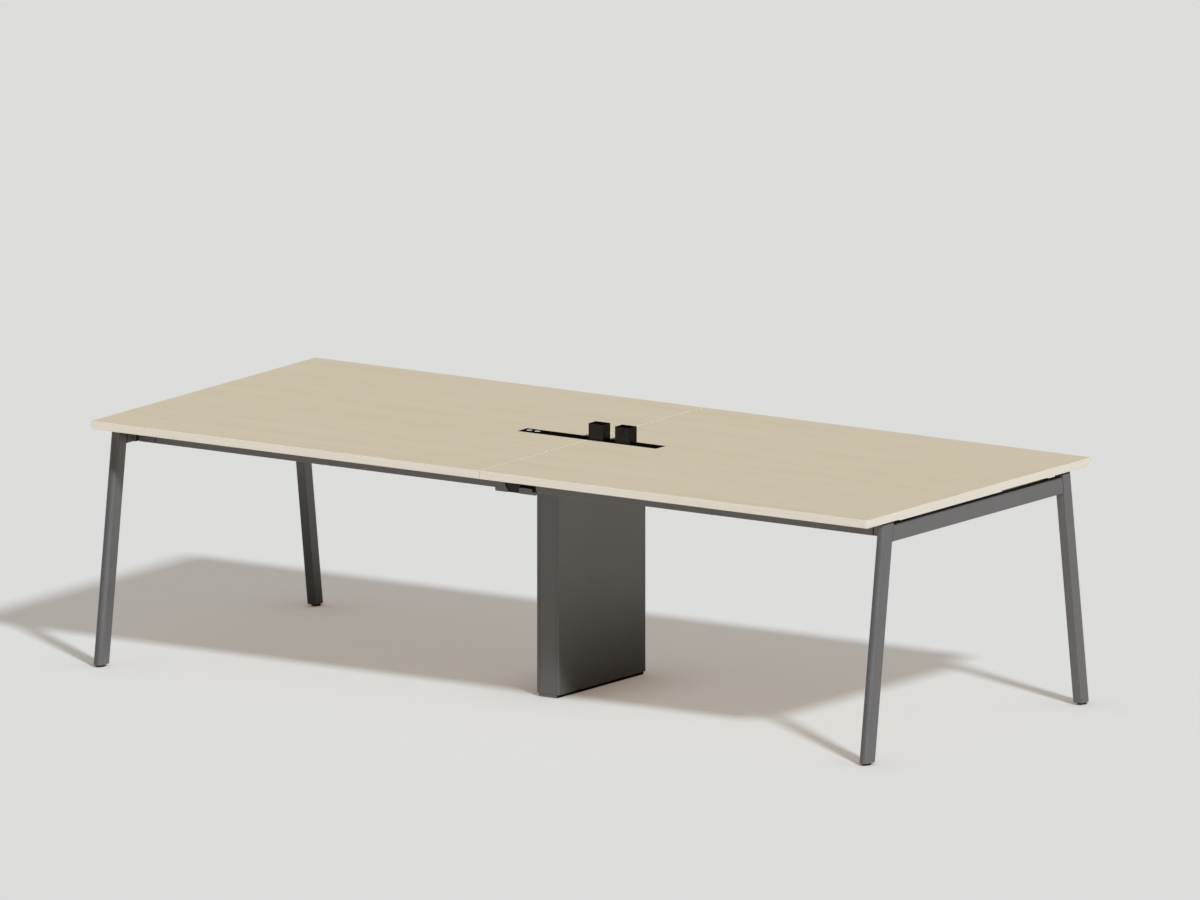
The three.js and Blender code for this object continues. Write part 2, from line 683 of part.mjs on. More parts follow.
function socketCarriage() {
  const keyX = CARRIAGE_KEY / 2;
  const keyY = TRACK_SLOT / 2 - FIT;
  const plate = socketBlock(CARRIAGE_FOOT, CARRIAGE_TOP);
  const key = box(-keyX, keyX, -keyY, keyY, LIP_LEVEL + FIT, CARRIAGE_TOP);
  const bore = cylinder(NECK_RADIUS + FIT, 0, 0, LIP_LEVEL - OVERCUT, CARRIAGE_TOP + OVERCUT);
  return cut(join(plate, key), bore);
}

function socketHousing() {
  const faceX = SOCKET_LENGTH / 2 - FACE_MARGIN;
  const front = -SOCKET_DEPTH / 2;
  const footY = TRACK_BODY / 2 - TRACK_WALL - FOOT_SIDE_PLAY;
  const footX = TRACK_SLOT / 2 - FOOT_SLOT_PLAY;
  const footTop = LIP_LEVEL - FIT;
  const footFoot = footTop - FOOT_HEIGHT;
  const block = socketBlock(SOCKET_FOOT, SOCKET_TOP);
  const neck = cylinder(NECK_RADIUS, 0, 0, footFoot, SOCKET_FOOT + OVERCUT);
  const foot = box(-footX, footX, -footY, footY, footFoot, footTop);
  const faceFoot = SOCKET_FOOT + FACE_MARGIN;
  const faceTop = SOCKET_TOP - FACE_MARGIN;
  const recess = box(-faceX, faceX, front - OVERCUT, front + FACE_DEPTH, faceFoot, faceTop);
  return cut(join(block, neck, foot), recess);
}

// A straight slot in the face plate, drawn in (z, x) and turned about its own middle.
function pinSlot(z, x, tilt) {
  const corners = [[-1, -1], [1, -1], [1, 1], [-1, 1]].map(([sideU, sideV]) => {
    const corner = new THREE.Vector2(sideU * PIN_SLOT_LENGTH / 2, sideV * PIN_SLOT_WIDTH / 2);
    corner.rotateAround(new THREE.Vector2(), tilt);
    return [z + corner.x, x + corner.y];
  });
  return polygon(corners);
}

function socketFaceplate() {
  const front = -SOCKET_DEPTH / 2;
  const reach = SOCKET_LENGTH / 2 - FACE_MARGIN - FIT;
  const foot = SOCKET_FOOT + FACE_MARGIN + FIT;
  const top = SOCKET_TOP - FACE_MARGIN - FIT;
  const middle = (foot + top) / 2;
  const plate = polygon([[foot, -reach], [foot, reach], [top, reach], [top, -reach]]);
  for (const side of ENDS) {
    plate.holes.push(pinSlot(middle - PAIR_DROP, side * PIN_PITCH / 2, 0));
    plate.holes.push(pinSlot(middle + SLANT_RISE, side * PIN_PITCH / 2, -side * PIN_TILT));
  }
  plate.holes.push(pinSlot(middle + EARTH_RISE, 0, 0));
  return alongY(plate, front, front + FACE_DEPTH - FIT);
}

function buildSockets() {
  for (const { side, place, turn } of SOCKETS) {
    const group = new THREE.Group();
    group.position.x = place;
    group.rotation.z = turn;
    trackGroup.add(group);
    addPart(group, `socket_carriage_${side}`, socketCarriage(), BLACK_PLASTIC);
    addPart(group, `socket_housing_${side}`, socketHousing(), BLACK_PLASTIC);
    addPart(group, `socket_faceplate_${side}`, socketFaceplate(), BLACK_PLASTIC);
  }
}

buildTop();
buildLegs();
buildFrame();
buildColumn();
buildTrack();
buildSockets();

export default table;
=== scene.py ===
"""Dresses the conference table for a studio picture.

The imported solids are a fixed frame. Tubes, folded sheet, edge bands, glides, ports and screws are worked out
here as fine surfaces, most of which stand for their nodes. The other nodes keep their shape and get broken
edges, and every surface gets the finish of the real material. Lengths are millimetres unless a name says
otherwise, and they turn to metres where a mesh is made.
"""

import logging
import math
from collections.abc import Callable, Iterable, Iterator
from dataclasses import dataclass, field
from enum import Enum

import bmesh
import bpy
import numpy as np
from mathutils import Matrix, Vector


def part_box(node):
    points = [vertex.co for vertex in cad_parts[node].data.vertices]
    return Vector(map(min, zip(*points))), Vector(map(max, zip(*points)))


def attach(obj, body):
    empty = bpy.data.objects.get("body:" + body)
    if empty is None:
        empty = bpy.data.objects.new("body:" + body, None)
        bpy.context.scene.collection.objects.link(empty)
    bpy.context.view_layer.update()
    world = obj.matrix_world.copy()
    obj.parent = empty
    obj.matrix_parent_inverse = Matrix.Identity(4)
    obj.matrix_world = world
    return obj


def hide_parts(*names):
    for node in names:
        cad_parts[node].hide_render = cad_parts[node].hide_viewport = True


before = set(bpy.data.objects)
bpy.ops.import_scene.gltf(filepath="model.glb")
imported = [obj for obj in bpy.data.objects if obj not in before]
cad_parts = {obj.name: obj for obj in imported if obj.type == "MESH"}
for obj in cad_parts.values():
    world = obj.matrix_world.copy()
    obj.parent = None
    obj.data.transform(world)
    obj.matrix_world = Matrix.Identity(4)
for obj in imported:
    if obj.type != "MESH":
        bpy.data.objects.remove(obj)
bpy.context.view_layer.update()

Array = np.ndarray
Place = Callable[[Array, float], Array]
Inputs = dict[str | int, object]
Triple = tuple[float, float, float]
FaceTest = Callable[[bpy.types.MeshPolygon], bool]

LOG = logging.getLogger("conference_table")
MM = 0.001
MERGE_DISTANCE_M = 1e-6
WELD_DISTANCE_M = 1e-5
SHARP_ANGLE = math.radians(32)
WHOLE_FACE_ANGLE = math.radians(1)
BROKEN_EDGE_ANGLE = math.radians(40)
EDGE_STEPS = 3
ARC_STEPS = 6
RIM_STEPS = 3
ROUND_STEPS = 48
TURN = np.linspace(0, 2 * math.pi, ROUND_STEPS, endpoint=False)
CIRCLE = np.column_stack([np.cos(TURN), np.sin(TURN)])
END_FACING = 0.7
LEVEL_FACING = 0.95
SRGB_KNEE = 0.04045
SRGB_SLOPE = 12.92
SRGB_OFFSET = 0.055
SRGB_POWER = 2.4
LEG_SPLAY = math.radians(8)
TUBE_WALL = 2.0
FLANGE_THICKNESS = 6.0
WAIST_DEPTH = 4.0
ROOT = "table"


class Named(Enum):
    """A choice whose members are words in node names."""

    @property
    def label(self) -> str:
        """The word that node names use."""
        return self.name.lower()


class Side(Named):
    """The two ends of the table, by the sign of X."""

    LEFT = -1
    RIGHT = 1


class Half(Named):
    """The two long sides. The rear one is the front one turned half way round about Z."""

    FRONT = 1
    REAR = -1


class Axis(Enum):
    """The direction of a straight run or a screw, with the roll that turns (u, v, along) to (x, y, z)."""

    X = 1
    Z = 0


class Slot(Enum):
    """The record's material slots."""

    OAK = "oak_laminate"
    BAND = "edge_band"
    GREY = "powder_coat_grey"
    BLACK_STEEL = "black_steel"
    ANODISED = "black_anodised"
    BLACK_PLASTIC = "black_plastic"
    WHITE_PLASTIC = "white_plastic"


@dataclass(frozen=True)
class Box:
    """A node's lowest and highest corners at rest."""

    low: Array
    high: Array

    @classmethod
    def of(cls, node: str) -> "Box":
        """The box of a node of the frame."""
        low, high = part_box(node)
        return cls(np.array(low) / MM, np.array(high) / MM)

    @property
    def size(self) -> Array:
        """Length of each side."""
        return self.high - self.low

    @property
    def middle(self) -> Array:
        """Centre point."""
        return (self.low + self.high) / 2

    def end(self, way: int) -> float:
        """Where the box ends along X, on the side that a sign gives."""
        return self.high[0] if way > 0 else self.low[0]


@dataclass(frozen=True)
class Outline:
    """A flat outline whose points lie on arcs, so that it can be drawn at any inset.

    Each point is its arc's centre plus the arc's radius times a unit direction, and straight stretches run
    from one arc to the next.
    """

    centres: Array
    directions: Array
    radii: Array

    @classmethod
    def of(cls, *arcs: tuple[float, float, float, float, float], steps: int = ARC_STEPS) -> "Outline":
        """Joins arcs end to end.

        Args:
            arcs: centre u, centre v, radius, and the angles in degrees where each arc starts and stops. An
                arc that stops where it starts is one point.
            steps: straight pieces of each arc.

        Returns:
            The outline through all of them.
        """
        counts = [1 if start == stop else steps + 1 for *_, start, stop in arcs]
        angles = [np.linspace(start, stop, n) for (*_, start, stop), n in zip(arcs, counts)]
        turn = np.radians(np.concatenate(angles))
        centres = np.repeat([arc[:2] for arc in arcs], counts, axis=0)
        radii = np.repeat([arc[2] for arc in arcs], counts)
        return cls(centres, np.column_stack([np.cos(turn), np.sin(turn)]), radii)

    @classmethod
    def rectangle(cls, u0: float, u1: float, v0: float, v1: float, radius: float) -> "Outline":
        """A rectangle with rounded corners, anticlockwise from its lower right corner."""
        return cls.of(
            (u1 - radius, v0 + radius, radius, -90, 0),
            (u1 - radius, v1 - radius, radius, 0, 90),
            (u0 + radius, v1 - radius, radius, 90, 180),
            (u0 + radius, v0 + radius, radius, 180, 270),
        )

    def inset(self, depth: float) -> Array:
        """The points at a depth inside the outline: centre + (radius - depth) x direction."""
        return self.centres + (self.radii - depth)[:, None] * self.directions


@dataclass(frozen=True)
class Skin:
    """One closed surface of quads, with flat caps where its run has ends."""

    points: Array
    quads: Array
    caps: tuple[Array, ...]

    @classmethod
    def carried(cls, rings: Array, looped: bool = False) -> "Skin":
        """Joins closed rings of points, station by station, and turns the faces outwards.

        Args:
            rings: points by station and by place round the ring.
            looped: joins the last ring to the first, as for the wall of a tube. Otherwise the ends are
                capped.

        Returns:
            The closed surface.
        """
        stations, around = rings.shape[:2]
        row = np.arange(stations if looped else stations - 1)[:, None]
        column = np.arange(around)
        here = row * around
        there = (row + 1) % stations * around
        ahead = (column + 1) % around
        quads = np.stack([here + column, here + ahead, there + ahead, there + column], axis=-1)
        caps = () if looped else (column[::-1], column + (stations - 1) * around)
        skin = cls(rings.reshape(-1, 3), quads.reshape(-1, 4), caps)
        return skin if skin.volume() > 0 else skin.flipped()

    def volume(self) -> float:
        """Six times the space inside: the sum of the triple products of all triangles' corners."""
        fans = [self.quads[:, [0, 1, 2]], self.quads[:, [0, 2, 3]]]
        fans += [np.column_stack([np.full(len(cap) - 2, cap[0]), cap[1:-1], cap[2:]]) for cap in self.caps]
        a, b, c = self.points[np.concatenate(fans)].transpose(1, 0, 2)
        return float(np.einsum("ij,ij->", a, np.cross(b, c)))

    def flipped(self) -> "Skin":
        """The same surface with its faces turned round."""
        return Skin(self.points, self.quads[:, ::-1], tuple(cap[::-1] for cap in self.caps))

    def turned(self, half: Half) -> "Skin":
        """The surface on another long side, which is half a turn about Z away."""
        return Skin(self.points * (half.value, half.value, 1), self.quads, self.caps)

    def shifted(self, offset: Iterable[float]) -> "Skin":
        """The surface moved by an offset."""
        return Skin(self.points + np.array(offset), self.quads, self.caps)


def straight(axis: Axis) -> Place:
    """Lays an outline square across an axis.

    Args:
        axis: the run's direction. Outlines are drawn in (y, z) along X and (x, y) along Z.

    Returns:
        A function of an outline's points and a level along the axis.
    """
    def place(flat: Array, level: float) -> Array:
        """Adds the level as a third column and rolls the columns into (x, y, z)."""
        solid = np.column_stack([flat, np.full(len(flat), level)])
        return np.roll(solid, axis.value, axis=1)

    return place


def eased(low: float, high: float, ease: float) -> Array:
    """Stations of a bar whose two rims are rounded over a quarter circle.

    Args:
        low: level of the first end.
        high: level of the other end.
        ease: radius of the rims.

    Returns:
        Rows of inset and level: inset = ease (1 - sin t), and level = end + ease (1 - cos t) inwards.
    """
    t = np.linspace(0, math.pi / 2, RIM_STEPS + 1)
    inset = ease * (1 - np.sin(t))
    rise = ease * (1 - np.cos(t))
    first = np.column_stack([inset, low + rise])
    last = np.column_stack([inset, high - rise])[::-1]
    return np.concatenate([first, last])


def run(outline: Outline, stations: Iterable[Iterable[float]], place: Place) -> Array:
    """Draws an outline at each station's inset and lays it at the station's level."""
    return np.stack([place(outline.inset(inset), level) for inset, level in stations])


def stacked(rings: Iterable[tuple[Outline, float, float]], axis: Axis) -> Skin:
    """Joins outlines that change along an axis and have as many points each.

    Args:
        rings: outline, inset and level of each station.
        axis: the run's direction.

    Returns:
        The closed surface through all of them.
    """
    place = straight(axis)
    return Skin.carried(np.stack([place(shape.inset(inset), level) for shape, inset, level in rings]))


def tube(outline: Outline, low: float, high: float, wall: float, ease: float, place: Place) -> Skin:
    """A hollow tube: its outside with eased rims, then back along its inside.

    Args:
        outline: outer section.
        low: level of one end.
        high: level of the other end.
        wall: thickness of the wall.
        ease: radius of the rims.
        place: lays a section at a level.

    Returns:
        The tube's closed surface.
    """
    inside = [[wall, high], [wall, low]]
    return Skin.carried(run(outline, np.concatenate([eased(low, high, ease), inside]), place), looped=True)


def bar(outline: Outline, low: float, high: float, ease: float, place: Place) -> Skin:
    """A solid bar of one section with eased rims, capped at both ends."""
    return Skin.carried(run(outline, eased(low, high, ease), place))


def lathed(profile: Iterable[Iterable[float]]) -> Skin:
    """Turns rows of radius and height about Z, from one end cap to the other: (r cos a, r sin a, height)."""
    place = straight(Axis.Z)
    return Skin.carried(np.stack([place(radius * CIRCLE, height) for radius, height in profile]))


def folded_sheet(bends: Outline, gauge: float) -> Outline:
    """The section of a sheet folded along a line of bends, with round edges.

    Args:
        bends: the outer face, from one edge of the sheet to the other.
        gauge: thickness of the sheet.

    Returns:
        The closed section: out along the outer face, round the edge, back along the inner face.
    """
    faces = [bends.inset(0), bends.inset(gauge)]
    ends = []
    for place in (-1, 0):
        middle = (faces[0][place] + faces[1][place]) / 2
        across = (faces[0][place] - faces[1][place]) / 2
        along = np.array([-across[1], across[0]]) * (1 if place else -1)
        t = np.linspace(0, math.pi, ARC_STEPS + 1)[1:-1, None]
        ends.append(middle + across * np.cos(t) + along * np.sin(t))
    points = np.concatenate([faces[0], ends[0], faces[1][::-1], ends[1][::-1]])
    return Outline(points, np.zeros_like(points), np.zeros(len(points)))


def linear(hex_colour: str) -> tuple[float, float, float, float]:
    """Turns an sRGB hex colour to linear RGBA, by the sRGB curve."""
    values = np.array([int(hex_colour[i:i + 2], 16) for i in (1, 3, 5)]) / 255
    low = values / SRGB_SLOPE
    high = ((values + SRGB_OFFSET) / (1 + SRGB_OFFSET)) ** SRGB_POWER
    return (*np.where(values <= SRGB_KNEE, low, high).tolist(), 1.0)


@dataclass(frozen=True)
class Grain:
    """A soft random pattern.

    Attributes:
        size: length of a patch along X, Y and Z.
        spread: how far the noise's middle range is stretched, from 0 to 0.5. A small one gives hard edges.
        detail: finer layers of the noise.
    """

    size: Triple
    spread: float = 0.25
    detail: float = 2.0


class NodeGraph:
    """The node tree of a material or a world, emptied first."""

    MIX_FACTOR = 0
    MIX_FROM = 6
    MIX_TO = 7
    MIX_RESULT = 2

    def __init__(self, owner: bpy.types.Material | bpy.types.World) -> None:
        """Turns the owner's nodes on and removes those that it starts with."""
        owner.use_nodes = True
        self.tree = owner.node_tree
        self.tree.nodes.clear()

    def add(self, kind: str, inputs: Inputs, **settings: object) -> bpy.types.Node:
        """Adds a node with its settings and links.

        Args:
            kind: Blender's name of the node type.
            inputs: a value or another node's socket for each input, by name or by number.
            settings: the node's own properties.

        Returns:
            The new node.
        """
        node = self.tree.nodes.new(kind)
        for name, value in settings.items():
            setattr(node, name, value)
        for name, value in inputs.items():
            if isinstance(value, bpy.types.NodeSocket):
                self.tree.links.new(value, node.inputs[name])
            else:
                node.inputs[name].default_value = value
        return node

    def patches(self, grain: Grain, shift: float = 0.0) -> bpy.types.NodeSocket:
        """Draws a grain from 0 to 1 in the object's own space.

        Args:
            grain: the pattern.
            shift: moves it, in patches, so that two boards differ.

        Returns:
            The pattern's socket.
        """
        space = self.add("ShaderNodeTexCoord", {})
        scale = [1 / (length * MM) for length in grain.size]
        placed = self.add("ShaderNodeMapping", {
            "Vector": space.outputs["Object"], "Location": (shift, shift, 0), "Scale": scale,
        })
        noise = self.add("ShaderNodeTexNoise", {
            "Vector": placed.outputs[0], "Scale": 1.0, "Detail": grain.detail,
        })
        return self.add("ShaderNodeMapRange", {
            "Value": noise.outputs[0], "From Min": 0.5 - grain.spread, "From Max": 0.5 + grain.spread,
        }).outputs[0]

    def blend(self, factor: bpy.types.NodeSocket, low: object, high: object) -> bpy.types.NodeSocket:
        """A colour between two, by a factor.

        Args:
            factor: 0 gives the first colour and 1 the second.
            low: first colour, as a hex value or a socket.
            high: second colour, as a hex value or a socket.

        Returns:
            The colour's socket.
        """
        ends = [linear(end) if isinstance(end, str) else end for end in (low, high)]
        inputs = {self.MIX_FACTOR: factor, self.MIX_FROM: ends[0], self.MIX_TO: ends[1]}
        return self.add("ShaderNodeMix", inputs, data_type="RGBA").outputs[self.MIX_RESULT]

    def between(self, factor: bpy.types.NodeSocket, low: float, high: float) -> bpy.types.NodeSocket:
        """A number between two, by a factor from 0 to 1."""
        return self.add("ShaderNodeMapRange", {"Value": factor, "To Min": low, "To Max": high}).outputs[0]

    def reckon(self, operation: str, first: object, second: object) -> bpy.types.NodeSocket:
        """The result of one operation on two numbers or sockets."""
        return self.add("ShaderNodeMath", {0: first, 1: second}, operation=operation).outputs[0]

    def relief(self, height: bpy.types.NodeSocket, depth: float, strength: float) -> bpy.types.NodeSocket:
        """A bump of a depth in millimetres, as a normal."""
        inputs = {"Height": height, "Distance": depth * MM, "Strength": strength}
        return self.add("ShaderNodeBump", inputs).outputs["Normal"]


@dataclass(frozen=True)
class Finish:
    """A surface finish, which one Principled shader draws."""

    name: str
    slot: Slot
    colour: str
    roughness: float
    metallic: float = 0.0
    ior: float = 1.5
    specular: float = 0.5
    roughness_play: tuple[float, float] = (-0.05, 0.05)

    def material(self) -> bpy.types.Material:
        """The Blender material, made when it is first asked for."""
        return bpy.data.materials.get(self.name) or self.make()

    def make(self) -> bpy.types.Material:
        """Makes the shader with its even values, then lets the finish add its pattern."""
        material = bpy.data.materials.new(self.name)
        material.diffuse_color = linear(self.colour)
        graph = NodeGraph(material)
        shader = graph.add("ShaderNodeBsdfPrincipled", {
            "Base Color": linear(self.colour), "Roughness": self.roughness, "Metallic": self.metallic,
            "IOR": self.ior, "Specular IOR Level": self.specular,
        })
        graph.add("ShaderNodeOutputMaterial", {"Surface": shader.outputs["BSDF"]})
        for socket, value in self.pattern(graph).items():
            graph.tree.links.new(value, shader.inputs[socket])
        return material

    def pattern(self, graph: NodeGraph) -> dict[str, bpy.types.NodeSocket]:
        """What varies over the surface.

        Args:
            graph: the material's nodes.

        Returns:
            A socket for each input of the shader that isn't even.
        """
        raise NotImplementedError

    def uneven_gloss(self, graph: NodeGraph, pattern: bpy.types.NodeSocket) -> bpy.types.NodeSocket:
        """The roughness, moved by a pattern from the first value of its play to the second."""
        low, high = self.roughness_play
        return graph.between(pattern, self.roughness + low, self.roughness + high)


@dataclass(frozen=True)
class OakLaminate(Finish):
    """Melamine-faced board with a printed oak: matt, pale, with low-contrast grain along the table.

    Broad bands are the growth of the log, fibres run along them, and short dark dashes are the pores. Fibres
    and pores are drawn a few times coarser than the real 0.5 mm, so that they still show in the picture.
    """

    pale: str = "#e3d8c0"
    deep: str = "#dacdb2"
    pore: str = "#cabb9b"
    band: Grain = Grain((700.0, 60.0, 60.0), 0.22, 3)
    fibre: Grain = Grain((110.0, 3.2, 3.2), 0.2, 2)
    dash: Grain = Grain((38.0, 1.6, 1.6), 0.3, 0)
    fibre_share: float = 0.42
    pore_limit: float = 0.3
    pore_share: float = 0.22
    pore_depth: float = 0.05
    pore_strength: float = 0.25
    shift: float = 0.0

    def pattern(self, graph: NodeGraph) -> dict[str, bpy.types.NodeSocket]:
        """Bands and fibres pick a tone between deep and pale, and pores darken it."""
        bands, fibres, dashes = (
            graph.patches(grain, self.shift) for grain in (self.band, self.fibre, self.dash)
        )
        tone = graph.add("ShaderNodeMix", {"Factor": self.fibre_share, "A": bands, "B": fibres})
        ground = graph.blend(tone.outputs[0], self.deep, self.pale)
        pores = graph.add("ShaderNodeMapRange", {
            "Value": dashes, "From Min": self.pore_limit, "From Max": 0.0, "To Max": self.pore_share,
        })
        return {
            "Base Color": graph.blend(pores.outputs[0], ground, self.pore),
            "Roughness": self.uneven_gloss(graph, fibres),
            "Normal": graph.relief(dashes, self.pore_depth, self.pore_strength),
        }


@dataclass(frozen=True)
class EdgeBand(Finish):
    """Extruded PVC edge band: satin, a little paler than the board, with faint lines along its length."""

    deep: str = field(kw_only=True)
    line: Grain = Grain((260.0, 260.0, 2.2))
    roughness_play: tuple[float, float] = (0.06, -0.04)

    def pattern(self, graph: NodeGraph) -> dict[str, bpy.types.NodeSocket]:
        """Long thin lines between two pale tones, and their slight change of gloss."""
        lines = graph.patches(self.line)
        return {
            "Base Color": graph.blend(lines, self.deep, self.colour),
            "Roughness": self.uneven_gloss(graph, lines),
        }


@dataclass(frozen=True)
class GrittyCoat(Finish):
    """Baked powder coat on steel: matt, with a fine leathery grit that breaks up the highlights.

    The grit is about 0.4 mm across on the real tube and is drawn at 0.9 mm, so that a close view shows it.
    In other tones it also draws paint, oxide and rolled copper, which are as fine, and painted shade on the
    plinth's sides and the crossbars' tops.
    """

    deep: str = "#4d4e50"
    grit: Grain = Grain((0.9, 0.9, 0.9), detail=1)
    cloud: Grain = Grain((180.0, 180.0, 180.0), 0.3)
    grit_depth: float = 0.06
    grit_strength: float = 0.35

    def pattern(self, graph: NodeGraph) -> dict[str, bpy.types.NodeSocket]:
        """Grit gives the relief and a speckle, and wide clouds a slight change of tone and gloss."""
        grit = graph.patches(self.grit)
        cloud = graph.patches(self.cloud)
        speckle = graph.blend(grit, self.deep, self.colour)
        return {
            "Base Color": graph.blend(cloud, speckle, self.colour),
            "Roughness": self.uneven_gloss(graph, cloud),
            "Normal": graph.relief(grit, self.grit_depth, self.grit_strength),
        }


@dataclass(frozen=True)
class AnodisedAluminium(Finish):
    """Black anodised extrusion: a satin metal with fine die lines along the track."""

    deep: str = "#060606"
    line: Grain = Grain((240.0, 0.9, 0.9), detail=1)
    line_depth: float = 0.03
    line_strength: float = 0.2
    roughness_play: tuple[float, float] = (-0.08, 0.08)

    def pattern(self, graph: NodeGraph) -> dict[str, bpy.types.NodeSocket]:
        """Die lines along X change the tone, the gloss and the relief a little."""
        lines = graph.patches(self.line)
        return {
            "Base Color": graph.blend(lines, self.deep, self.colour),
            "Roughness": self.uneven_gloss(graph, lines),
            "Normal": graph.relief(lines, self.line_depth, self.line_strength),
        }


@dataclass(frozen=True)
class MouldedPlastic(Finish):
    """Moulded plastic with a spark-eroded skin: even colour, a fine dull grain and soft highlights."""

    deep: str = "#060505"
    skin: Grain = Grain((0.7, 0.7, 0.7), detail=1)
    skin_depth: float = 0.03
    skin_strength: float = 0.3
    roughness_play: tuple[float, float] = (-0.05, 0.07)

    def pattern(self, graph: NodeGraph) -> dict[str, bpy.types.NodeSocket]:
        """The skin's grain gives the relief, a speckle and an uneven gloss."""
        grain = graph.patches(self.skin)
        return {
            "Base Color": graph.blend(grain, self.deep, self.colour),
            "Roughness": self.uneven_gloss(graph, grain),
            "Normal": graph.relief(grain, self.skin_depth, self.skin_strength),
        }


BOARD_LEFT = OakLaminate("oak_laminate_left_board", Slot.OAK, "#d6caaf", 0.6, specular=0.4, shift=0.0)
BOARD_RIGHT = OakLaminate("oak_laminate_right_board", Slot.OAK, "#d6caaf", 0.6, specular=0.4, shift=3.7)
PVC_BAND = EdgeBand("pvc_edge_band", Slot.BAND, "#f6f1e5", 0.45, deep="#efe8d9")
# A darker copy of the band's colour for its end faces: painted shade, since the sun lights the ends more than
# the long sides.
BAND_ENDS_PAINTED_SHADE = EdgeBand("pvc_end_band", Slot.BAND, "#dfdbd1", 0.45, deep="#d7d2c6")
GREY_COAT = GrittyCoat("grey_powder_coat", Slot.GREY, "#5a5b5e", 0.42, ior=1.6, specular=0.9)
# Near-black, dull coat for the plinth's faces that look along X: painted shade of the recess under the
# column's sheet.
PLINTH_SIDES_PAINTED_SHADE = GrittyCoat("dark_plinth_coat", Slot.GREY, "#1f1e1d", 0.8, specular=0.1, deep="#191817")
# Near-black, dull coat on the crossbars' tops: painted shade in the narrow gap under the boards.
CROSSBAR_TOP_PAINTED_SHADE = GrittyCoat("black_foam_tape", Slot.GREY, "#312f2c", 0.9, specular=0.1, deep="#2a2825")
BLACK_PAINT = GrittyCoat(
    "black_painted_steel", Slot.BLACK_STEEL, "#343331", 0.65, specular=0.3, deep="#2c2b29", grit_depth=0.03,
)
ANODISED = AnodisedAluminium("black_anodised_aluminium", Slot.ANODISED, "#080808", 0.3, specular=0.3)
BLACK_MOULDED = MouldedPlastic("black_moulded_abs", Slot.BLACK_PLASTIC, "#080706", 0.16, specular=0.4)
DULL_MOULDED = MouldedPlastic("black_dull_abs", Slot.BLACK_PLASTIC, "#080706", 0.3, specular=0.1)
BLACK_NYLON = MouldedPlastic(
    "black_nylon", Slot.BLACK_PLASTIC, "#242322", 0.65, specular=0.3, deep="#1c1b1a",
    skin=Grain((1.2, 1.2, 1.2), detail=1),
)
WHITE_MOULDED = MouldedPlastic(
    "white_moulded_abs", Slot.WHITE_PLASTIC, "#dcdcda", 0.38, deep="#d6d6d4", skin_depth=0.01,
)
SCREW_BLACK = GrittyCoat(
    "black_oxide_screws", Slot.BLACK_STEEL, "#1e1d1c", 0.42, metallic=0.7, deep="#161514",
)
COPPER = GrittyCoat(
    "copper_strip", Slot.ANODISED, "#b87d5c", 0.35, metallic=1.0, deep="#a06a4b", grit_depth=0.01,
)


def show(data: bpy.types.ID) -> bpy.types.Object:
    """Puts a mesh, a light or a camera into the scene, as an object of the same name."""
    shown = bpy.data.objects.new(data.name, data)
    bpy.context.scene.collection.objects.link(shown)
    return shown


def even_shading(shown: bpy.types.Object) -> None:
    """Lets broad flat faces set the normals, so that they shade flat up to their rounded edges."""
    even = shown.modifiers.new("even_shading", "WEIGHTED_NORMAL")
    even.mode = "FACE_AREA"
    even.keep_sharp = True


def piece(name: str, skins: Iterable[Skin], finish: Finish, body: str = ROOT,
          stands_for: Iterable[str] = ()) -> bpy.types.Object:
    """Puts surfaces into one mesh object that rides on a body.

    Args:
        name: the piece's name.
        skins: closed surfaces, in millimetres.
        finish: what covers them.
        body: the body that it moves with.
        stands_for: nodes that it is shown instead of.

    Returns:
        The new object.
    """
    points: list[Array] = []
    faces: list[list[int]] = []
    start = 0
    for skin in skins:
        points.append(skin.points * MM)
        faces += (skin.quads + start).tolist()
        faces += [(cap + start).tolist() for cap in skin.caps]
        start += len(skin.points)
    mesh = bpy.data.meshes.new(name)
    mesh.from_pydata(np.concatenate(points).tolist(), [], faces)
    shell = bmesh.new()
    shell.from_mesh(mesh)
    bmesh.ops.remove_doubles(shell, verts=shell.verts, dist=MERGE_DISTANCE_M)
    shell.to_mesh(mesh)
    shell.free()
    mesh.shade_smooth()
    mesh.set_sharp_from_angle(angle=SHARP_ANGLE)
    mesh.materials.append(finish.material())
    made = show(mesh)
    even_shading(made)
    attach(made, body)
    if stands_for:
        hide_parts(*stands_for)
    return made


def dress(node: str, finish: Finish, edge: float = 0.0) -> bpy.types.Object:
    """Gives a node of the frame its finish and, if asked, broken edges.

    Its triangles are welded, flat faces are made whole, and then the edges are rounded over by modifiers.

    Args:
        node: the node's name.
        finish: what covers it.
        edge: width of the rounding, or nothing for edges as they are.

    Returns:
        The node's object.
    """
    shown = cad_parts[node]
    shown.data.materials.clear()
    shown.data.materials.append(finish.material())
    if edge:
        shown.data.shade_smooth()
        weld = shown.modifiers.new("weld", "WELD")
        weld.merge_threshold = WELD_DISTANCE_M
        flat = shown.modifiers.new("whole_faces", "DECIMATE")
        flat.decimate_type = "DISSOLVE"
        flat.angle_limit = WHOLE_FACE_ANGLE
        soften = shown.modifiers.new("broken_edges", "BEVEL")
        soften.width = edge * MM
        soften.segments = EDGE_STEPS
        soften.limit_method = "ANGLE"
        soften.angle_limit = BROKEN_EDGE_ANGLE
        even_shading(shown)
    return shown


def finish_some(shown: bpy.types.Object, finish: Finish, chosen: FaceTest) -> None:
    """Gives some faces of a piece another finish.

    Args:
        shown: the piece, which has its first finish.
        finish: what covers the chosen faces.
        chosen: tells which faces they are.
    """
    shown.data.materials.append(finish.material())
    for face in shown.data.polygons:
        face.material_index = int(chosen(face))


def looks_along(face: bpy.types.MeshPolygon) -> bool:
    """Whether a face looks along the table rather than across it or up."""
    return abs(face.normal.x) > END_FACING


def looks_up(face: bpy.types.MeshPolygon) -> bool:
    """Whether a face is level and looks up."""
    return face.normal.z > LEVEL_FACING


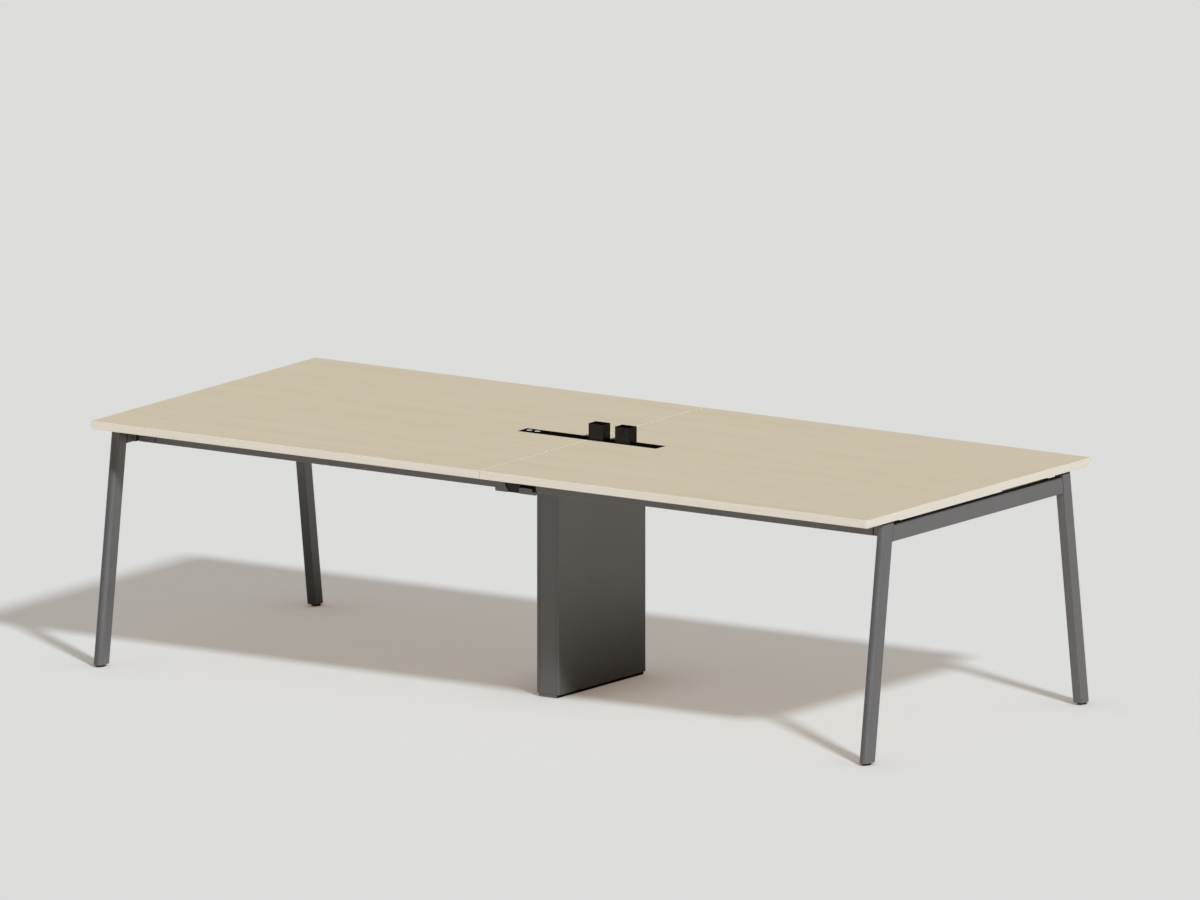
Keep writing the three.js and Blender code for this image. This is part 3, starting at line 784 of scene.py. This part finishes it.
@dataclass(frozen=True)
class Corner:
    """One corner of the table, where a leg stands."""

    half: Half
    side: Side

    @property
    def name(self) -> str:
        """The end of its nodes' names."""
        return f"{self.half.label}_{self.side.label}"

    @property
    def end(self) -> int:
        """The sign of X in the front half's own place, before the half is turned."""
        return self.side.value * self.half.value


CORNERS = tuple(Corner(half, side) for half in Half for side in Side)
TURNS_TO_RIGHT = ((Half.FRONT, Side.RIGHT), (Half.REAR, Side.LEFT))


def front_box(node: str, half: Half) -> Box:
    """A node's box, turned back to the front half if the node is at the rear."""
    box = Box.of(node)
    if half is Half.FRONT:
        return box
    flip = np.array([-1, -1, 1])
    return Box(np.minimum(box.low * flip, box.high * flip), np.maximum(box.low * flip, box.high * flip))


@dataclass
class TableTop:
    """Two laminate boards, each with a band glued round its edge."""

    band: float = 1.1
    edge_round: float = 0.6
    notch_play: float = 0.5

    def build(self) -> Iterator[bpy.types.Object]:
        """Dresses the boards and makes their bands, whose end faces take a darker copy of the band's finish as
        painted shade against the stronger sun on the ends.
        """
        yield dress("top_panel_left", BOARD_LEFT)
        yield dress("top_panel_right", BOARD_RIGHT)
        for half, side in TURNS_TO_RIGHT:
            node = f"edge_band_{side.label}"
            skin = self.strip(node, half).turned(half)
            strip = piece(node + "_strip", [skin], PVC_BAND, stands_for=[node])
            # The band's faces that look along X get the darker copy: painted shade.
            finish_some(strip, BAND_ENDS_PAINTED_SHADE, looks_along)
            yield strip

    def strip(self, node: str, half: Half) -> Skin:
        """A band's profile carried round its board, from one side of the track's notch to the other.

        Args:
            node: the band's node.
            half: the half turn that brings the board to the right.

        Returns:
            The band, whose corners are as round as it is thick, so that it is sharp inside.
        """
        box = front_box(node, half)
        seam, far, side = box.low[0] + self.band, box.high[0] - self.band, box.high[1] - self.band
        track = front_box("power_track", half)
        path = Outline.of(
            (seam, track.high[1] + self.notch_play, self.band, 180, 180),
            (seam, side, self.band, 180, 90),
            (far, side, self.band, 90, 0),
            (far, -side, self.band, 0, -90),
            (seam, -side, self.band, -90, -180),
            (seam, track.low[1] - self.notch_play, self.band, -180, -180),
        )
        foot, top = box.low[2], box.high[2]
        outside = eased(foot, top, self.edge_round)
        profile = np.concatenate([[[self.band, foot]], outside, [[self.band, top]]])
        levels = run(path, profile, straight(Axis.Z))
        return Skin.carried(levels.transpose(1, 0, 2))


@dataclass
class Legs:
    """Four splayed tubes of D section, each with a pad at its top and a screw-in glide at its foot."""

    splay: float = LEG_SPLAY
    wall: float = TUBE_WALL
    corner: float = 2.2
    rim: float = 0.6
    round_steps: int = 16
    base_height: float = 6.0
    base_step: float = 1.0
    base_round: float = 2.0
    stem: float = 4.0
    hub: float = 7.5
    moulded_edge: float = 0.3

    def build(self) -> Iterator[bpy.types.Object]:
        """Makes the tubes and glides and dresses the pads and plugs."""
        for corner in CORNERS:
            leg = f"leg_{corner.name}"
            skin = self.leg(leg, corner).turned(corner.half)
            yield piece(leg + "_tube", [skin], GREY_COAT, stands_for=[leg])
            yield dress(f"leg_top_pad_{corner.name}", BLACK_MOULDED, edge=self.moulded_edge)
            yield dress(f"leg_foot_plug_{corner.name}", BLACK_MOULDED, edge=self.moulded_edge)
            glide = f"leg_glide_{corner.name}"
            foot = [self.glide(glide)]
            yield piece(glide + "_foot", foot, BLACK_NYLON, f"glide_{corner.name}", stands_for=[glide])

    def leg(self, node: str, corner: Corner) -> Skin:
        """One tube, round on its outer side and flat on its inner side.

        Args:
            node: the leg's node.
            corner: where it stands.

        Returns:
            The tube in the front half's place. Each level's section is moved in by tan(splay) times its
            height.
        """
        box = front_box(node, corner.half)
        half = box.size[0] / 2
        lean = math.tan(self.splay)
        depth = (box.size[1] - lean * box.size[2]) * math.cos(self.splay)
        corner_v = depth - self.corner
        section = Outline.of(
            (0, half, half, 180, 270),
            (0, half, half, 270, 360),
            (half - self.corner, corner_v, self.corner, 0, 90),
            (self.corner - half, corner_v, self.corner, 90, 180),
            steps=self.round_steps,
        )

        def place(flat: Array, level: float) -> Array:
            """Lays the section level, stretched by 1 / cos(splay) across the lean."""
            y = box.low[1] + lean * (level - box.low[2]) + flat[:, 1] / math.cos(self.splay)
            return np.column_stack([box.middle[0] + flat[:, 0], y, np.full(len(flat), level)])

        return tube(section, box.low[2], box.high[2], self.wall, self.rim, place)

    def glide(self, node: str) -> Skin:
        """A glide: a flat base with rounded rims, a hub and a threaded stem, turned about Z."""
        box = Box.of(node)
        radius, top = box.size[0] / 2, self.base_height
        step = top - self.base_step
        profile = [[radius - inset, height] for inset, height in eased(0, step, self.base_round)]
        profile += [[self.hub, step], [self.hub, top], [self.stem, top], [self.stem, box.high[2]]]
        return lathed(profile).shifted((box.middle[0], box.middle[1], 0))


@dataclass
class SteelFrame:
    """Crossbars between the legs, side rails with their connectors, and the beam over the column."""

    splay: float = LEG_SPLAY
    wall: float = TUBE_WALL
    corner: float = 3.0
    rim: float = 0.5
    flange: float = FLANGE_THICKNESS
    flange_corner: float = 1.5
    collar: float = 62.0
    waist: float = WAIST_DEPTH
    waist_corner: float = 1.0
    spigot_play: float = 2.3
    joint_line: float = 4.0
    joint_depth: float = 5.0
    break_edge: float = 0.6
    spacer_edge: float = 0.5
    beam_edge: float = 0.4
    bar_gap: float = 3.5

    def build(self) -> Iterator[bpy.types.Object]:
        """Makes the tubes and connectors and dresses what lies between them and the boards."""
        for side in Side:
            bar_node = f"crossbar_{side.label}"
            made = piece(bar_node + "_tube", [self.crossbar(bar_node)], GREY_COAT, stands_for=[bar_node])
            # The crossbar's upward faces are painted near black: painted shade in the gap under the board.
            finish_some(made, CROSSBAR_TOP_PAINTED_SHADE, looks_up)
            yield made
        for corner in CORNERS:
            rail = f"side_rail_{corner.name}"
            yield piece(rail + "_tube", [self.rail(rail)], GREY_COAT, stands_for=[rail])
            joint = f"rail_connector_{corner.name}"
            skin = self.connector(joint, corner).turned(corner.half)
            cast = piece(joint + "_cast", [skin], GREY_COAT, stands_for=[joint])
            # The waist between flange and collar gets the black paint of the real black parts: painted shade
            # of the recess under the board.
            finish_some(cast, BLACK_PAINT, self.waist_faces(joint, rail))
            yield cast
            yield dress(f"rail_spacer_{corner.name}", BLACK_PAINT, edge=self.spacer_edge)
        yield dress("mid_beam", GREY_COAT, edge=self.beam_edge)

    def waist_faces(self, joint: str, rail: str) -> FaceTest:
        """Tells the faces of a connector that lie between its flange and its collar, which are painted black
        as painted shade of the recess under the board.

        Args:
            joint: the connector's node.
            rail: its rail's node.

        Returns:
            A test of one face, by how far from the table's middle it is.
        """
        ends = [np.abs([box.low[0], box.high[0]]).max() for box in (Box.of(rail), Box.of(joint))]
        start, stop = ends[0] + self.collar, ends[1] - self.flange
        return lambda face: start < abs(face.center.x) / MM < stop

    def crossbar(self, node: str) -> Skin:
        """A tube along Y whose ends follow the slope of the legs: half length = reach - tan(splay) rise.

        One end is welded to its leg, and the other is plugged and stops short of it.
        """
        box = Box.of(node)
        section = Outline.rectangle(box.low[2], box.high[2], box.low[0], box.high[0], self.corner)
        reach = box.high[1]
        lean = math.tan(self.splay)

        def place(flat: Array, level: float) -> Array:
            """Shortens each end by what the leg's face has leaned in at that height, and by the gap."""
            gap = self.bar_gap if level * box.middle[0] > 0 else 0
            y = level - math.copysign(1, level) * (gap + lean * (flat[:, 0] - box.low[2]))
            return np.column_stack([flat[:, 1], y, flat[:, 0]])

        return tube(section, -reach, reach, self.wall, self.rim, place)

    def section(self, box: Box, corner: float, depth: float = 0.0) -> Outline:
        """A rounded rectangle across X, at a depth inside a box, in (y, z)."""
        low, high = box.low + depth, box.high - depth
        return Outline.rectangle(low[1], high[1], low[2], high[2], corner)

    def rail(self, node: str) -> Skin:
        """A straight tube along X."""
        box = Box.of(node)
        section = self.section(box, self.corner)
        return tube(section, box.low[0], box.high[0], self.wall, self.rim, straight(Axis.X))

    def connector(self, node: str, corner: Corner) -> Skin:
        """A stepped casting: flange on the crossbar, waist, collar of the rail's size, spigot in the rail.

        Args:
            node: the connector's node.
            corner: where it sits.

        Returns:
            One surface through rounded rectangles, from the flange's face to the spigot's end.
        """
        box = front_box(node, corner.half)
        rail_box = front_box(f"side_rail_{corner.name}", corner.half)
        end = corner.end
        flange_face, spigot_end, rail_end = box.end(end), box.end(-end), rail_box.end(end)
        rail = self.section(rail_box, self.corner)
        flange = self.section(box, self.flange_corner)
        waist = self.section(rail_box, self.waist_corner, self.waist)
        groove = self.section(rail_box, self.waist_corner, self.joint_depth)
        collar_end = rail_end + end * self.joint_line
        collar_start = rail_end + end * self.collar
        waist_start = flange_face - end * self.flange
        edge = self.break_edge
        rings = [
            (flange, 0, flange_face),
            (flange, 0, waist_start + end * edge),
            (flange, edge, waist_start),
            (waist, 0, waist_start),
            (waist, 0, collar_start),
            (rail, edge, collar_start),
            (rail, 0, collar_start - end * edge),
            (rail, 0, collar_end + end * edge),
            (rail, edge, collar_end),
            (groove, 0, collar_end),
            (groove, 0, rail_end - end * self.joint_line),
            (rail, self.spigot_play, rail_end - end * self.joint_line),
            (rail, self.spigot_play, spigot_end),
        ]
        return stacked(rings, Axis.X)


@dataclass
class MiddleJoints:
    """The castings and tongues that join the rails, and the blocks that carry the seam."""

    cast_edge: float = 0.9
    block_edge: float = 0.6

    def build(self) -> Iterator[bpy.types.Object]:
        """Dresses both joints."""
        for half in Half:
            yield dress(f"mid_casting_{half.label}", GREY_COAT, edge=self.cast_edge)
            yield dress(f"rail_tongue_{half.label}", BLACK_PAINT, edge=self.block_edge)
            yield dress(f"seam_block_{half.label}", BLACK_PAINT, edge=self.block_edge)


@dataclass
class CableColumn:
    """Two folded steel shells on a plinth, closed by a clipped cover at each narrow side."""

    gauge: float = 1.5
    shell_bend: float = 2.0
    cover_bend: float = 1.8
    rim: float = 0.3
    plinth_edge: float = 0.8
    post_edge: float = 0.3

    def build(self) -> Iterator[bpy.types.Object]:
        """Makes the sheet pieces and dresses the plinth and the posts."""
        plinth = dress("column_plinth", GREY_COAT, edge=self.plinth_edge)
        # The plinth's faces along X are painted near black: painted shade of the recess.
        finish_some(plinth, PLINTH_SIDES_PAINTED_SHADE, looks_along)
        yield plinth
        for half, side in TURNS_TO_RIGHT:
            shell = f"column_shell_{side.label}"
            skin = self.shell(front_box(shell, half)).turned(half)
            yield piece(shell + "_sheet", [skin], GREY_COAT, stands_for=[shell])
            cover = f"column_cover_{half.label}"
            skin = self.cover(front_box(cover, half)).turned(half)
            yield piece(cover + "_sheet", [skin], GREY_COAT, f"cover_{half.label}", stands_for=[cover])
            yield dress(f"column_post_{half.label}", BLACK_PAINT, edge=self.post_edge)

    def sheet(self, bends: Outline, box: Box) -> Skin:
        """A folded section carried up Z with square ends."""
        section = folded_sheet(bends, self.gauge)
        return Skin.carried(run(section, [[0, box.low[2]], [0, box.high[2]]], straight(Axis.Z)))

    def shell(self, box: Box) -> Skin:
        """The right shell: a return, a long wall along Y and another return."""
        bend = self.shell_bend
        wall, front = box.high[0] - bend, box.high[1] - bend
        edge = box.low[0] + self.gauge / 2
        bends = Outline.of(
            (edge, -front, bend, -90, -90),
            (wall, -front, bend, -90, 0),
            (wall, front, bend, 0, 90),
            (edge, front, bend, 90, 90),
        )
        return self.sheet(bends, box)

    def cover(self, box: Box) -> Skin:
        """The front cover: a flange, the face and another flange."""
        bend = self.cover_bend
        side, face = box.high[0] - bend, box.low[1] + bend
        edge = box.high[1] - self.gauge / 2
        bends = Outline.of(
            (-side, edge, bend, 180, 180),
            (-side, face, bend, 180, 270),
            (side, face, bend, 270, 360),
            (side, edge, bend, 360, 360),
        )
        return self.sheet(bends, box)


@dataclass
class PowerTrack:
    """The slotted track, its end pieces, conductors and charging ports."""

    edge: float = 0.2
    port_corner: float = 2.0
    port_round: float = 0.6
    frame_width: float = 1.6
    frame_drop: float = 0.35
    slot_length: float = 9.0
    slot_width: float = 3.2
    slot_depth: float = 7.0
    slot_flat: float = 0.02
    liner_wall: float = 0.35
    liner_play: float = 0.02
    tongue_width: float = 0.8
    tongue_margin: float = 1.2
    strip_width: float = 4.0
    strip_thickness: float = 0.8
    strip_level: float = 730.0
    strip_margin: float = 1.0
    fine_edge: float = 0.1
    track_wall: float = 3.0
    track_body: float = 38.0

    def build(self) -> Iterator[bpy.types.Object]:
        """Dresses the track and makes its ports and conductors."""
        yield dress("power_track", ANODISED, edge=self.edge)
        for node in ("track_port_block", "track_end_cap", "track_cable_gland"):
            yield dress(node, BLACK_MOULDED, edge=self.edge)
        yield piece("track_conductors", list(self.conductors()), COPPER)
        for number in (1, 2):
            node = f"charging_port_{number}"
            box = Box.of(node)
            yield piece(node + "_body", [self.port(box)], WHITE_MOULDED, stands_for=[node])
            yield piece(node + "_contacts", [self.liner(box), self.tongue(box)], BLACK_MOULDED)

    def conductors(self) -> Iterator[Skin]:
        """A copper strip along each inner wall of the track."""
        box = Box.of("power_track")
        wall = self.track_body / 2 - self.track_wall
        level, half = self.strip_level, self.strip_width / 2
        for way in (-1, 1):
            sides = box.middle[1] + np.sort([way * wall, way * (wall - self.strip_thickness)])
            section = Outline.rectangle(*sides, level - half, level + half, self.strip_thickness / 4)
            ends = box.low[0] + self.strip_margin, box.high[0] - self.strip_margin
            yield bar(section, *ends, self.fine_edge, straight(Axis.X))

    def opening(self, box: Box, grow: float) -> Outline:
        """The port's long slot, grown by some width, in (x, y). Its ends are round but for a short flat."""
        x, y = box.middle[:2]
        u, v = self.slot_length / 2 + grow, self.slot_width / 2 + grow
        return Outline.rectangle(x - u, x + u, y - v, y + v, v - self.slot_flat / 2)

    def port(self, box: Box) -> Skin:
        """A block with a raised frame, a sunk face and a slot, drawn from its foot to the slot's floor."""
        (x0, y0, foot), (x1, y1, top) = box.low, box.high
        block = Outline.rectangle(x0, x1, y0, y1, self.port_corner)
        rings = [(block, inset, level) for inset, level in eased(foot, top, self.port_round)]
        sunk = top - self.frame_drop
        floor = top - self.slot_depth
        rings += [
            (block, self.frame_width, top),
            (block, self.frame_width + self.frame_drop, sunk),
            (self.opening(box, self.frame_drop), 0, sunk),
            (self.opening(box, 0), 0, sunk - self.frame_drop),
            (self.opening(box, 0), 0, floor),
        ]
        return stacked(rings, Axis.Z)

    def liner(self, box: Box) -> Skin:
        """A black cup in the port's slot."""
        top = box.high[2] - 2 * self.frame_drop
        floor = box.high[2] - self.slot_depth
        outer, inner = (self.opening(box, -depth) for depth in (self.liner_play, self.liner_wall))
        return stacked([
            (outer, 0, floor + self.liner_play),
            (outer, 0, top),
            (inner, 0, top),
            (inner, 0, floor + self.liner_wall),
        ], Axis.Z)

    def tongue(self, box: Box) -> Skin:
        """The contact tongue that stands in the slot."""
        x, y = box.middle[:2]
        u, v = self.slot_length / 2 - self.tongue_margin, self.tongue_width / 2
        section = Outline.rectangle(x - u, x + u, y - v, y + v, v / 2)
        low = box.high[2] - self.slot_depth + self.liner_wall
        return bar(section, low, box.high[2] - self.tongue_margin, self.fine_edge, straight(Axis.Z))


@dataclass
class TrackSockets:
    """Two block sockets on sliding carriages."""

    block_edge: float = 0.5
    carriage_edge: float = 0.4
    face_edge: float = 0.3

    def build(self) -> Iterator[bpy.types.Object]:
        """Dresses both sockets, whose blocks are duller on their ends than on their faces."""
        for side in Side:
            yield dress(f"socket_carriage_{side.label}", BLACK_MOULDED, edge=self.carriage_edge)
            block = dress(f"socket_housing_{side.label}", BLACK_MOULDED, edge=self.block_edge)
            finish_some(block, DULL_MOULDED, looks_along)
            yield block
            yield dress(f"socket_faceplate_{side.label}", BLACK_MOULDED, edge=self.face_edge)


@dataclass
class Fasteners:
    """Button-head screws with hexagon sockets, where the frame is bolted and the boards are held."""

    head: float = 5.2
    height: float = 2.8
    socket: float = 2.3
    socket_depth: float = 1.6
    socket_margin: float = 1.35
    brim_share: float = 0.25
    seat: float = 0.4
    dome_steps: int = 5
    flange: float = FLANGE_THICKNESS
    waist: float = WAIST_DEPTH
    spacer_pitch: float = 36.0
    cast_bolts: tuple[float, ...] = (-52.0, 43.0)

    def build(self) -> Iterator[bpy.types.Object]:
        """Makes one group of screws for each kind of joint."""
        yield piece("connector_screws", list(self.connector_screws()), SCREW_BLACK)
        yield piece("spacer_screws", list(self.spacer_screws()), SCREW_BLACK)
        yield piece("casting_screws", list(self.casting_screws()), SCREW_BLACK)

    def screw(self, seat: Array, axis: Axis, way: int) -> Skin:
        """A head that rises from its seat along an axis.

        Args:
            seat: the middle of the face that it sits on.
            axis: the screw's direction.
            way: 1 or -1 along that axis.

        Returns:
            A lathed dome, radius = head cos t and height sin t, with a six-sided socket in its top. The
            socket's radius is its half width over the cosine of the angle to the nearest flat's middle.
        """
        sixth = math.pi / 3
        hexagon = CIRCLE * (self.socket / np.cos((TURN + sixth / 2) % sixth - sixth / 2))[:, None]
        rim = math.acos(self.socket_margin * self.socket / self.head)
        brim = self.height * self.brim_share
        dome = self.height - brim
        rings = [(self.head * CIRCLE, -self.seat)]
        for t in np.linspace(0, rim, self.dome_steps):
            rings.append((self.head * math.cos(t) * CIRCLE, brim + dome * math.sin(t) / math.sin(rim)))
        rings += [(hexagon, self.height), (hexagon, self.height - self.socket_depth)]
        place = straight(axis)
        skin = Skin.carried(np.stack([place(flat, way * level) for flat, level in rings]))
        return skin.shifted(seat)

    def connector_screws(self) -> Iterator[Skin]:
        """One screw on each lip of each connector's flange, into the crossbar."""
        for corner in CORNERS:
            box = front_box(f"rail_connector_{corner.name}", corner.half)
            rail = front_box(f"side_rail_{corner.name}", corner.half)
            end = corner.end
            face = box.end(end) - end * self.flange
            lips = (box.low[1] + rail.low[1] + self.waist) / 2, (box.high[1] + rail.high[1] - self.waist) / 2
            for y in lips:
                seat = np.array([face, y, box.middle[2]])
                yield self.screw(seat, Axis.X, -end).turned(corner.half)

    def spacer_screws(self) -> Iterator[Skin]:
        """Two screws under each rail, up through it and its spacer into the board."""
        for corner in CORNERS:
            spacer = Box.of(f"rail_spacer_{corner.name}")
            rail = Box.of(f"side_rail_{corner.name}")
            for way in (-1, 1):
                x = spacer.middle[0] + way * self.spacer_pitch / 2
                yield self.screw(np.array([x, rail.middle[1], rail.low[2]]), Axis.Z, -1)

    def casting_screws(self) -> Iterator[Skin]:
        """A screw under each end of each casting, up into the rail or the tongue."""
        for half in Half:
            box = front_box(f"mid_casting_{half.label}", half)
            for x in self.cast_bolts:
                yield self.screw(np.array([x, box.middle[1], box.low[2]]), Axis.Z, -1).turned(half)


@dataclass(frozen=True)
class Studio:
    """A pale floor, a low sun, a sky that is bright overhead, and the photograph's parallel view.

    The floor's own colour lights the object. The camera sees it in the shade colour, mixed with a share of
    the backdrop's even tone, which turns to a painted contact shadow close to what stands on the floor.
    """

    image_width: float = 1200.0
    image_height: float = 900.0
    pixels_per_mm: float = 0.334196
    origin_pixel: tuple[float, float] = (591.24, 685.05)
    azimuth: float = math.radians(34.0)
    elevation: float = math.radians(11.0)
    distance_m: float = 14.0
    sight_m: float = 116.0
    floor_reach_m: float = 60.0
    floor_roughness: float = 0.9
    floor_specular: float = 0.1
    floor_colour: str = "#e5ddd4"
    shade_colour: str = "#d3dce2"
    backdrop: str = "#fff3e7"
    # Dark warm colour of the painted contact shadow on the floor.
    contact: str = "#7c3f00"
    contact_reach_m: float = 0.3
    contact_samples: int = 8
    backdrop_share: float = 0.347
    mirror_share: float = 0.1
    sky_colour: str = "#ffffff"
    sky_strength: float = 0.45
    sky_power: float = 3.0
    horizon: float = 0.002
    below_strength: float = 0.73
    sun_strength: float = 3.36
    sun_colour: str = "#ffffff"
    sun_direction: Triple = (0.6608, -0.3826, 0.678)
    sun_angle: float = math.radians(5.4)

    def build(self) -> None:
        """Sets up everything round the object."""
        bpy.context.scene.view_settings.view_transform = "Standard"
        self.camera()
        self.floor()
        self.sun()
        self.sky()

    def camera(self) -> None:
        """A parallel camera whose frame shows the origin at its pixel in the photograph."""
        sine, cosine = math.sin(self.azimuth), math.cos(self.azimuth)
        level = math.cos(self.elevation)
        back = Vector((sine * level, -cosine * level, math.sin(self.elevation)))
        right = Vector((cosine, sine, 0))
        up = back.cross(right)
        across = (self.image_width / 2 - self.origin_pixel[0]) / self.pixels_per_mm * MM
        rise = (self.origin_pixel[1] - self.image_height / 2) / self.pixels_per_mm * MM
        data = bpy.data.cameras.new("photograph_view")
        data.type = "ORTHO"
        data.ortho_scale = self.image_width / self.pixels_per_mm * MM
        data.clip_end = self.sight_m
        camera = show(data)
        camera.location = right * across + up * rise + back * self.distance_m
        camera.rotation_euler = back.to_track_quat("Z", "Y").to_euler()
        bpy.context.scene.camera = camera

    def floor(self) -> None:
        """A wide matt floor that fills the frame and shows a share of the backdrop's even tone, with a painted
        contact shadow near what stands on it.
        """
        material = bpy.data.materials.new("studio_floor")
        graph = NodeGraph(material)
        seen = self.seen(graph)
        matt = graph.add("ShaderNodeBsdfPrincipled", {
            "Base Color": graph.blend(seen, self.floor_colour, self.shade_colour),
            "Roughness": self.floor_roughness, "Specular IOR Level": self.floor_specular,
        })
        # Ambient occlusion turns the even tone towards the dark contact colour: a painted contact shadow.
        shadow_openness = graph.add("ShaderNodeAmbientOcclusion", {
            "Distance": self.contact_reach_m,
        }, samples=self.contact_samples).outputs["AO"]
        tone = graph.blend(shadow_openness, self.contact, self.backdrop)
        even = graph.add("ShaderNodeEmission", {"Color": tone, "Strength": 1.0})
        share = graph.reckon("MULTIPLY", seen, self.backdrop_share)
        either = graph.add("ShaderNodeMixShader", {0: share, 1: matt.outputs[0], 2: even.outputs[0]})
        graph.add("ShaderNodeOutputMaterial", {"Surface": either.outputs[0]})
        reach = self.floor_reach_m
        corners = [(-reach, -reach, 0), (reach, -reach, 0), (reach, reach, 0), (-reach, reach, 0)]
        mesh = bpy.data.meshes.new("studio_floor")
        mesh.from_pydata(corners, [], [(0, 1, 2, 3)])
        mesh.materials.append(material)
        floor = show(mesh)

    def sun(self) -> None:
        """A sun with a soft edge, from the right and the front."""
        data = bpy.data.lights.new("low_sun", "SUN")
        data.energy = self.sun_strength
        data.color = linear(self.sun_colour)[:3]
        data.angle = self.sun_angle
        show(data).rotation_euler = Vector(self.sun_direction).to_track_quat("Z", "Y").to_euler()

    def seen(self, graph: NodeGraph) -> bpy.types.NodeSocket:
        """1 where the floor is seen or looked through to, a share where it is mirrored, 0 for its light."""
        path = graph.add("ShaderNodeLightPath", {}).outputs
        mirrored = graph.reckon("MULTIPLY", path["Is Glossy Ray"], self.mirror_share)
        seen = graph.reckon("MAXIMUM", path["Is Camera Ray"], mirrored)
        return graph.reckon("MAXIMUM", seen, path["Is Transmission Ray"])

    def sky(self) -> None:
        """A sky that is bright overhead and dark at the horizon, over a ground as pale as the floor.

        Its strength is sky strength x z^power above the horizon. The floor hides the ground unless a view
        starts below it.
        """
        world = bpy.data.worlds.new("studio_sky")
        graph = NodeGraph(world)
        towards = graph.add("ShaderNodeTexCoord", {}).outputs["Generated"]
        rise = graph.add("ShaderNodeSeparateXYZ", {0: towards}).outputs["Z"]
        above = graph.reckon("MAXIMUM", rise, 0.0)
        curve = graph.reckon("POWER", above, self.sky_power)
        level = graph.reckon("MULTIPLY", curve, self.sky_strength)
        below = graph.reckon("LESS_THAN", rise, self.horizon)
        ground = graph.reckon("MULTIPLY", below, self.below_strength)
        light = graph.add("ShaderNodeBackground", {
            "Color": linear(self.sky_colour), "Strength": graph.reckon("ADD", level, ground),
        })
        graph.add("ShaderNodeOutputWorld", {"Surface": light.outputs[0]})
        bpy.context.scene.world = world


def main() -> None:
    """Builds the studio and every sub-assembly in order, and reports each piece."""
    logging.basicConfig(level=logging.INFO, format="%(message)s")
    Studio().build()
    assemblies = (
        TableTop(), Legs(), SteelFrame(), MiddleJoints(),
        CableColumn(), PowerTrack(), TrackSockets(), Fasteners(),
    )
    for assembly in assemblies:
        for made in assembly.build():
            LOG.info("%s: %s", type(assembly).__name__, made.name)


if __name__ == "__main__":
    main()
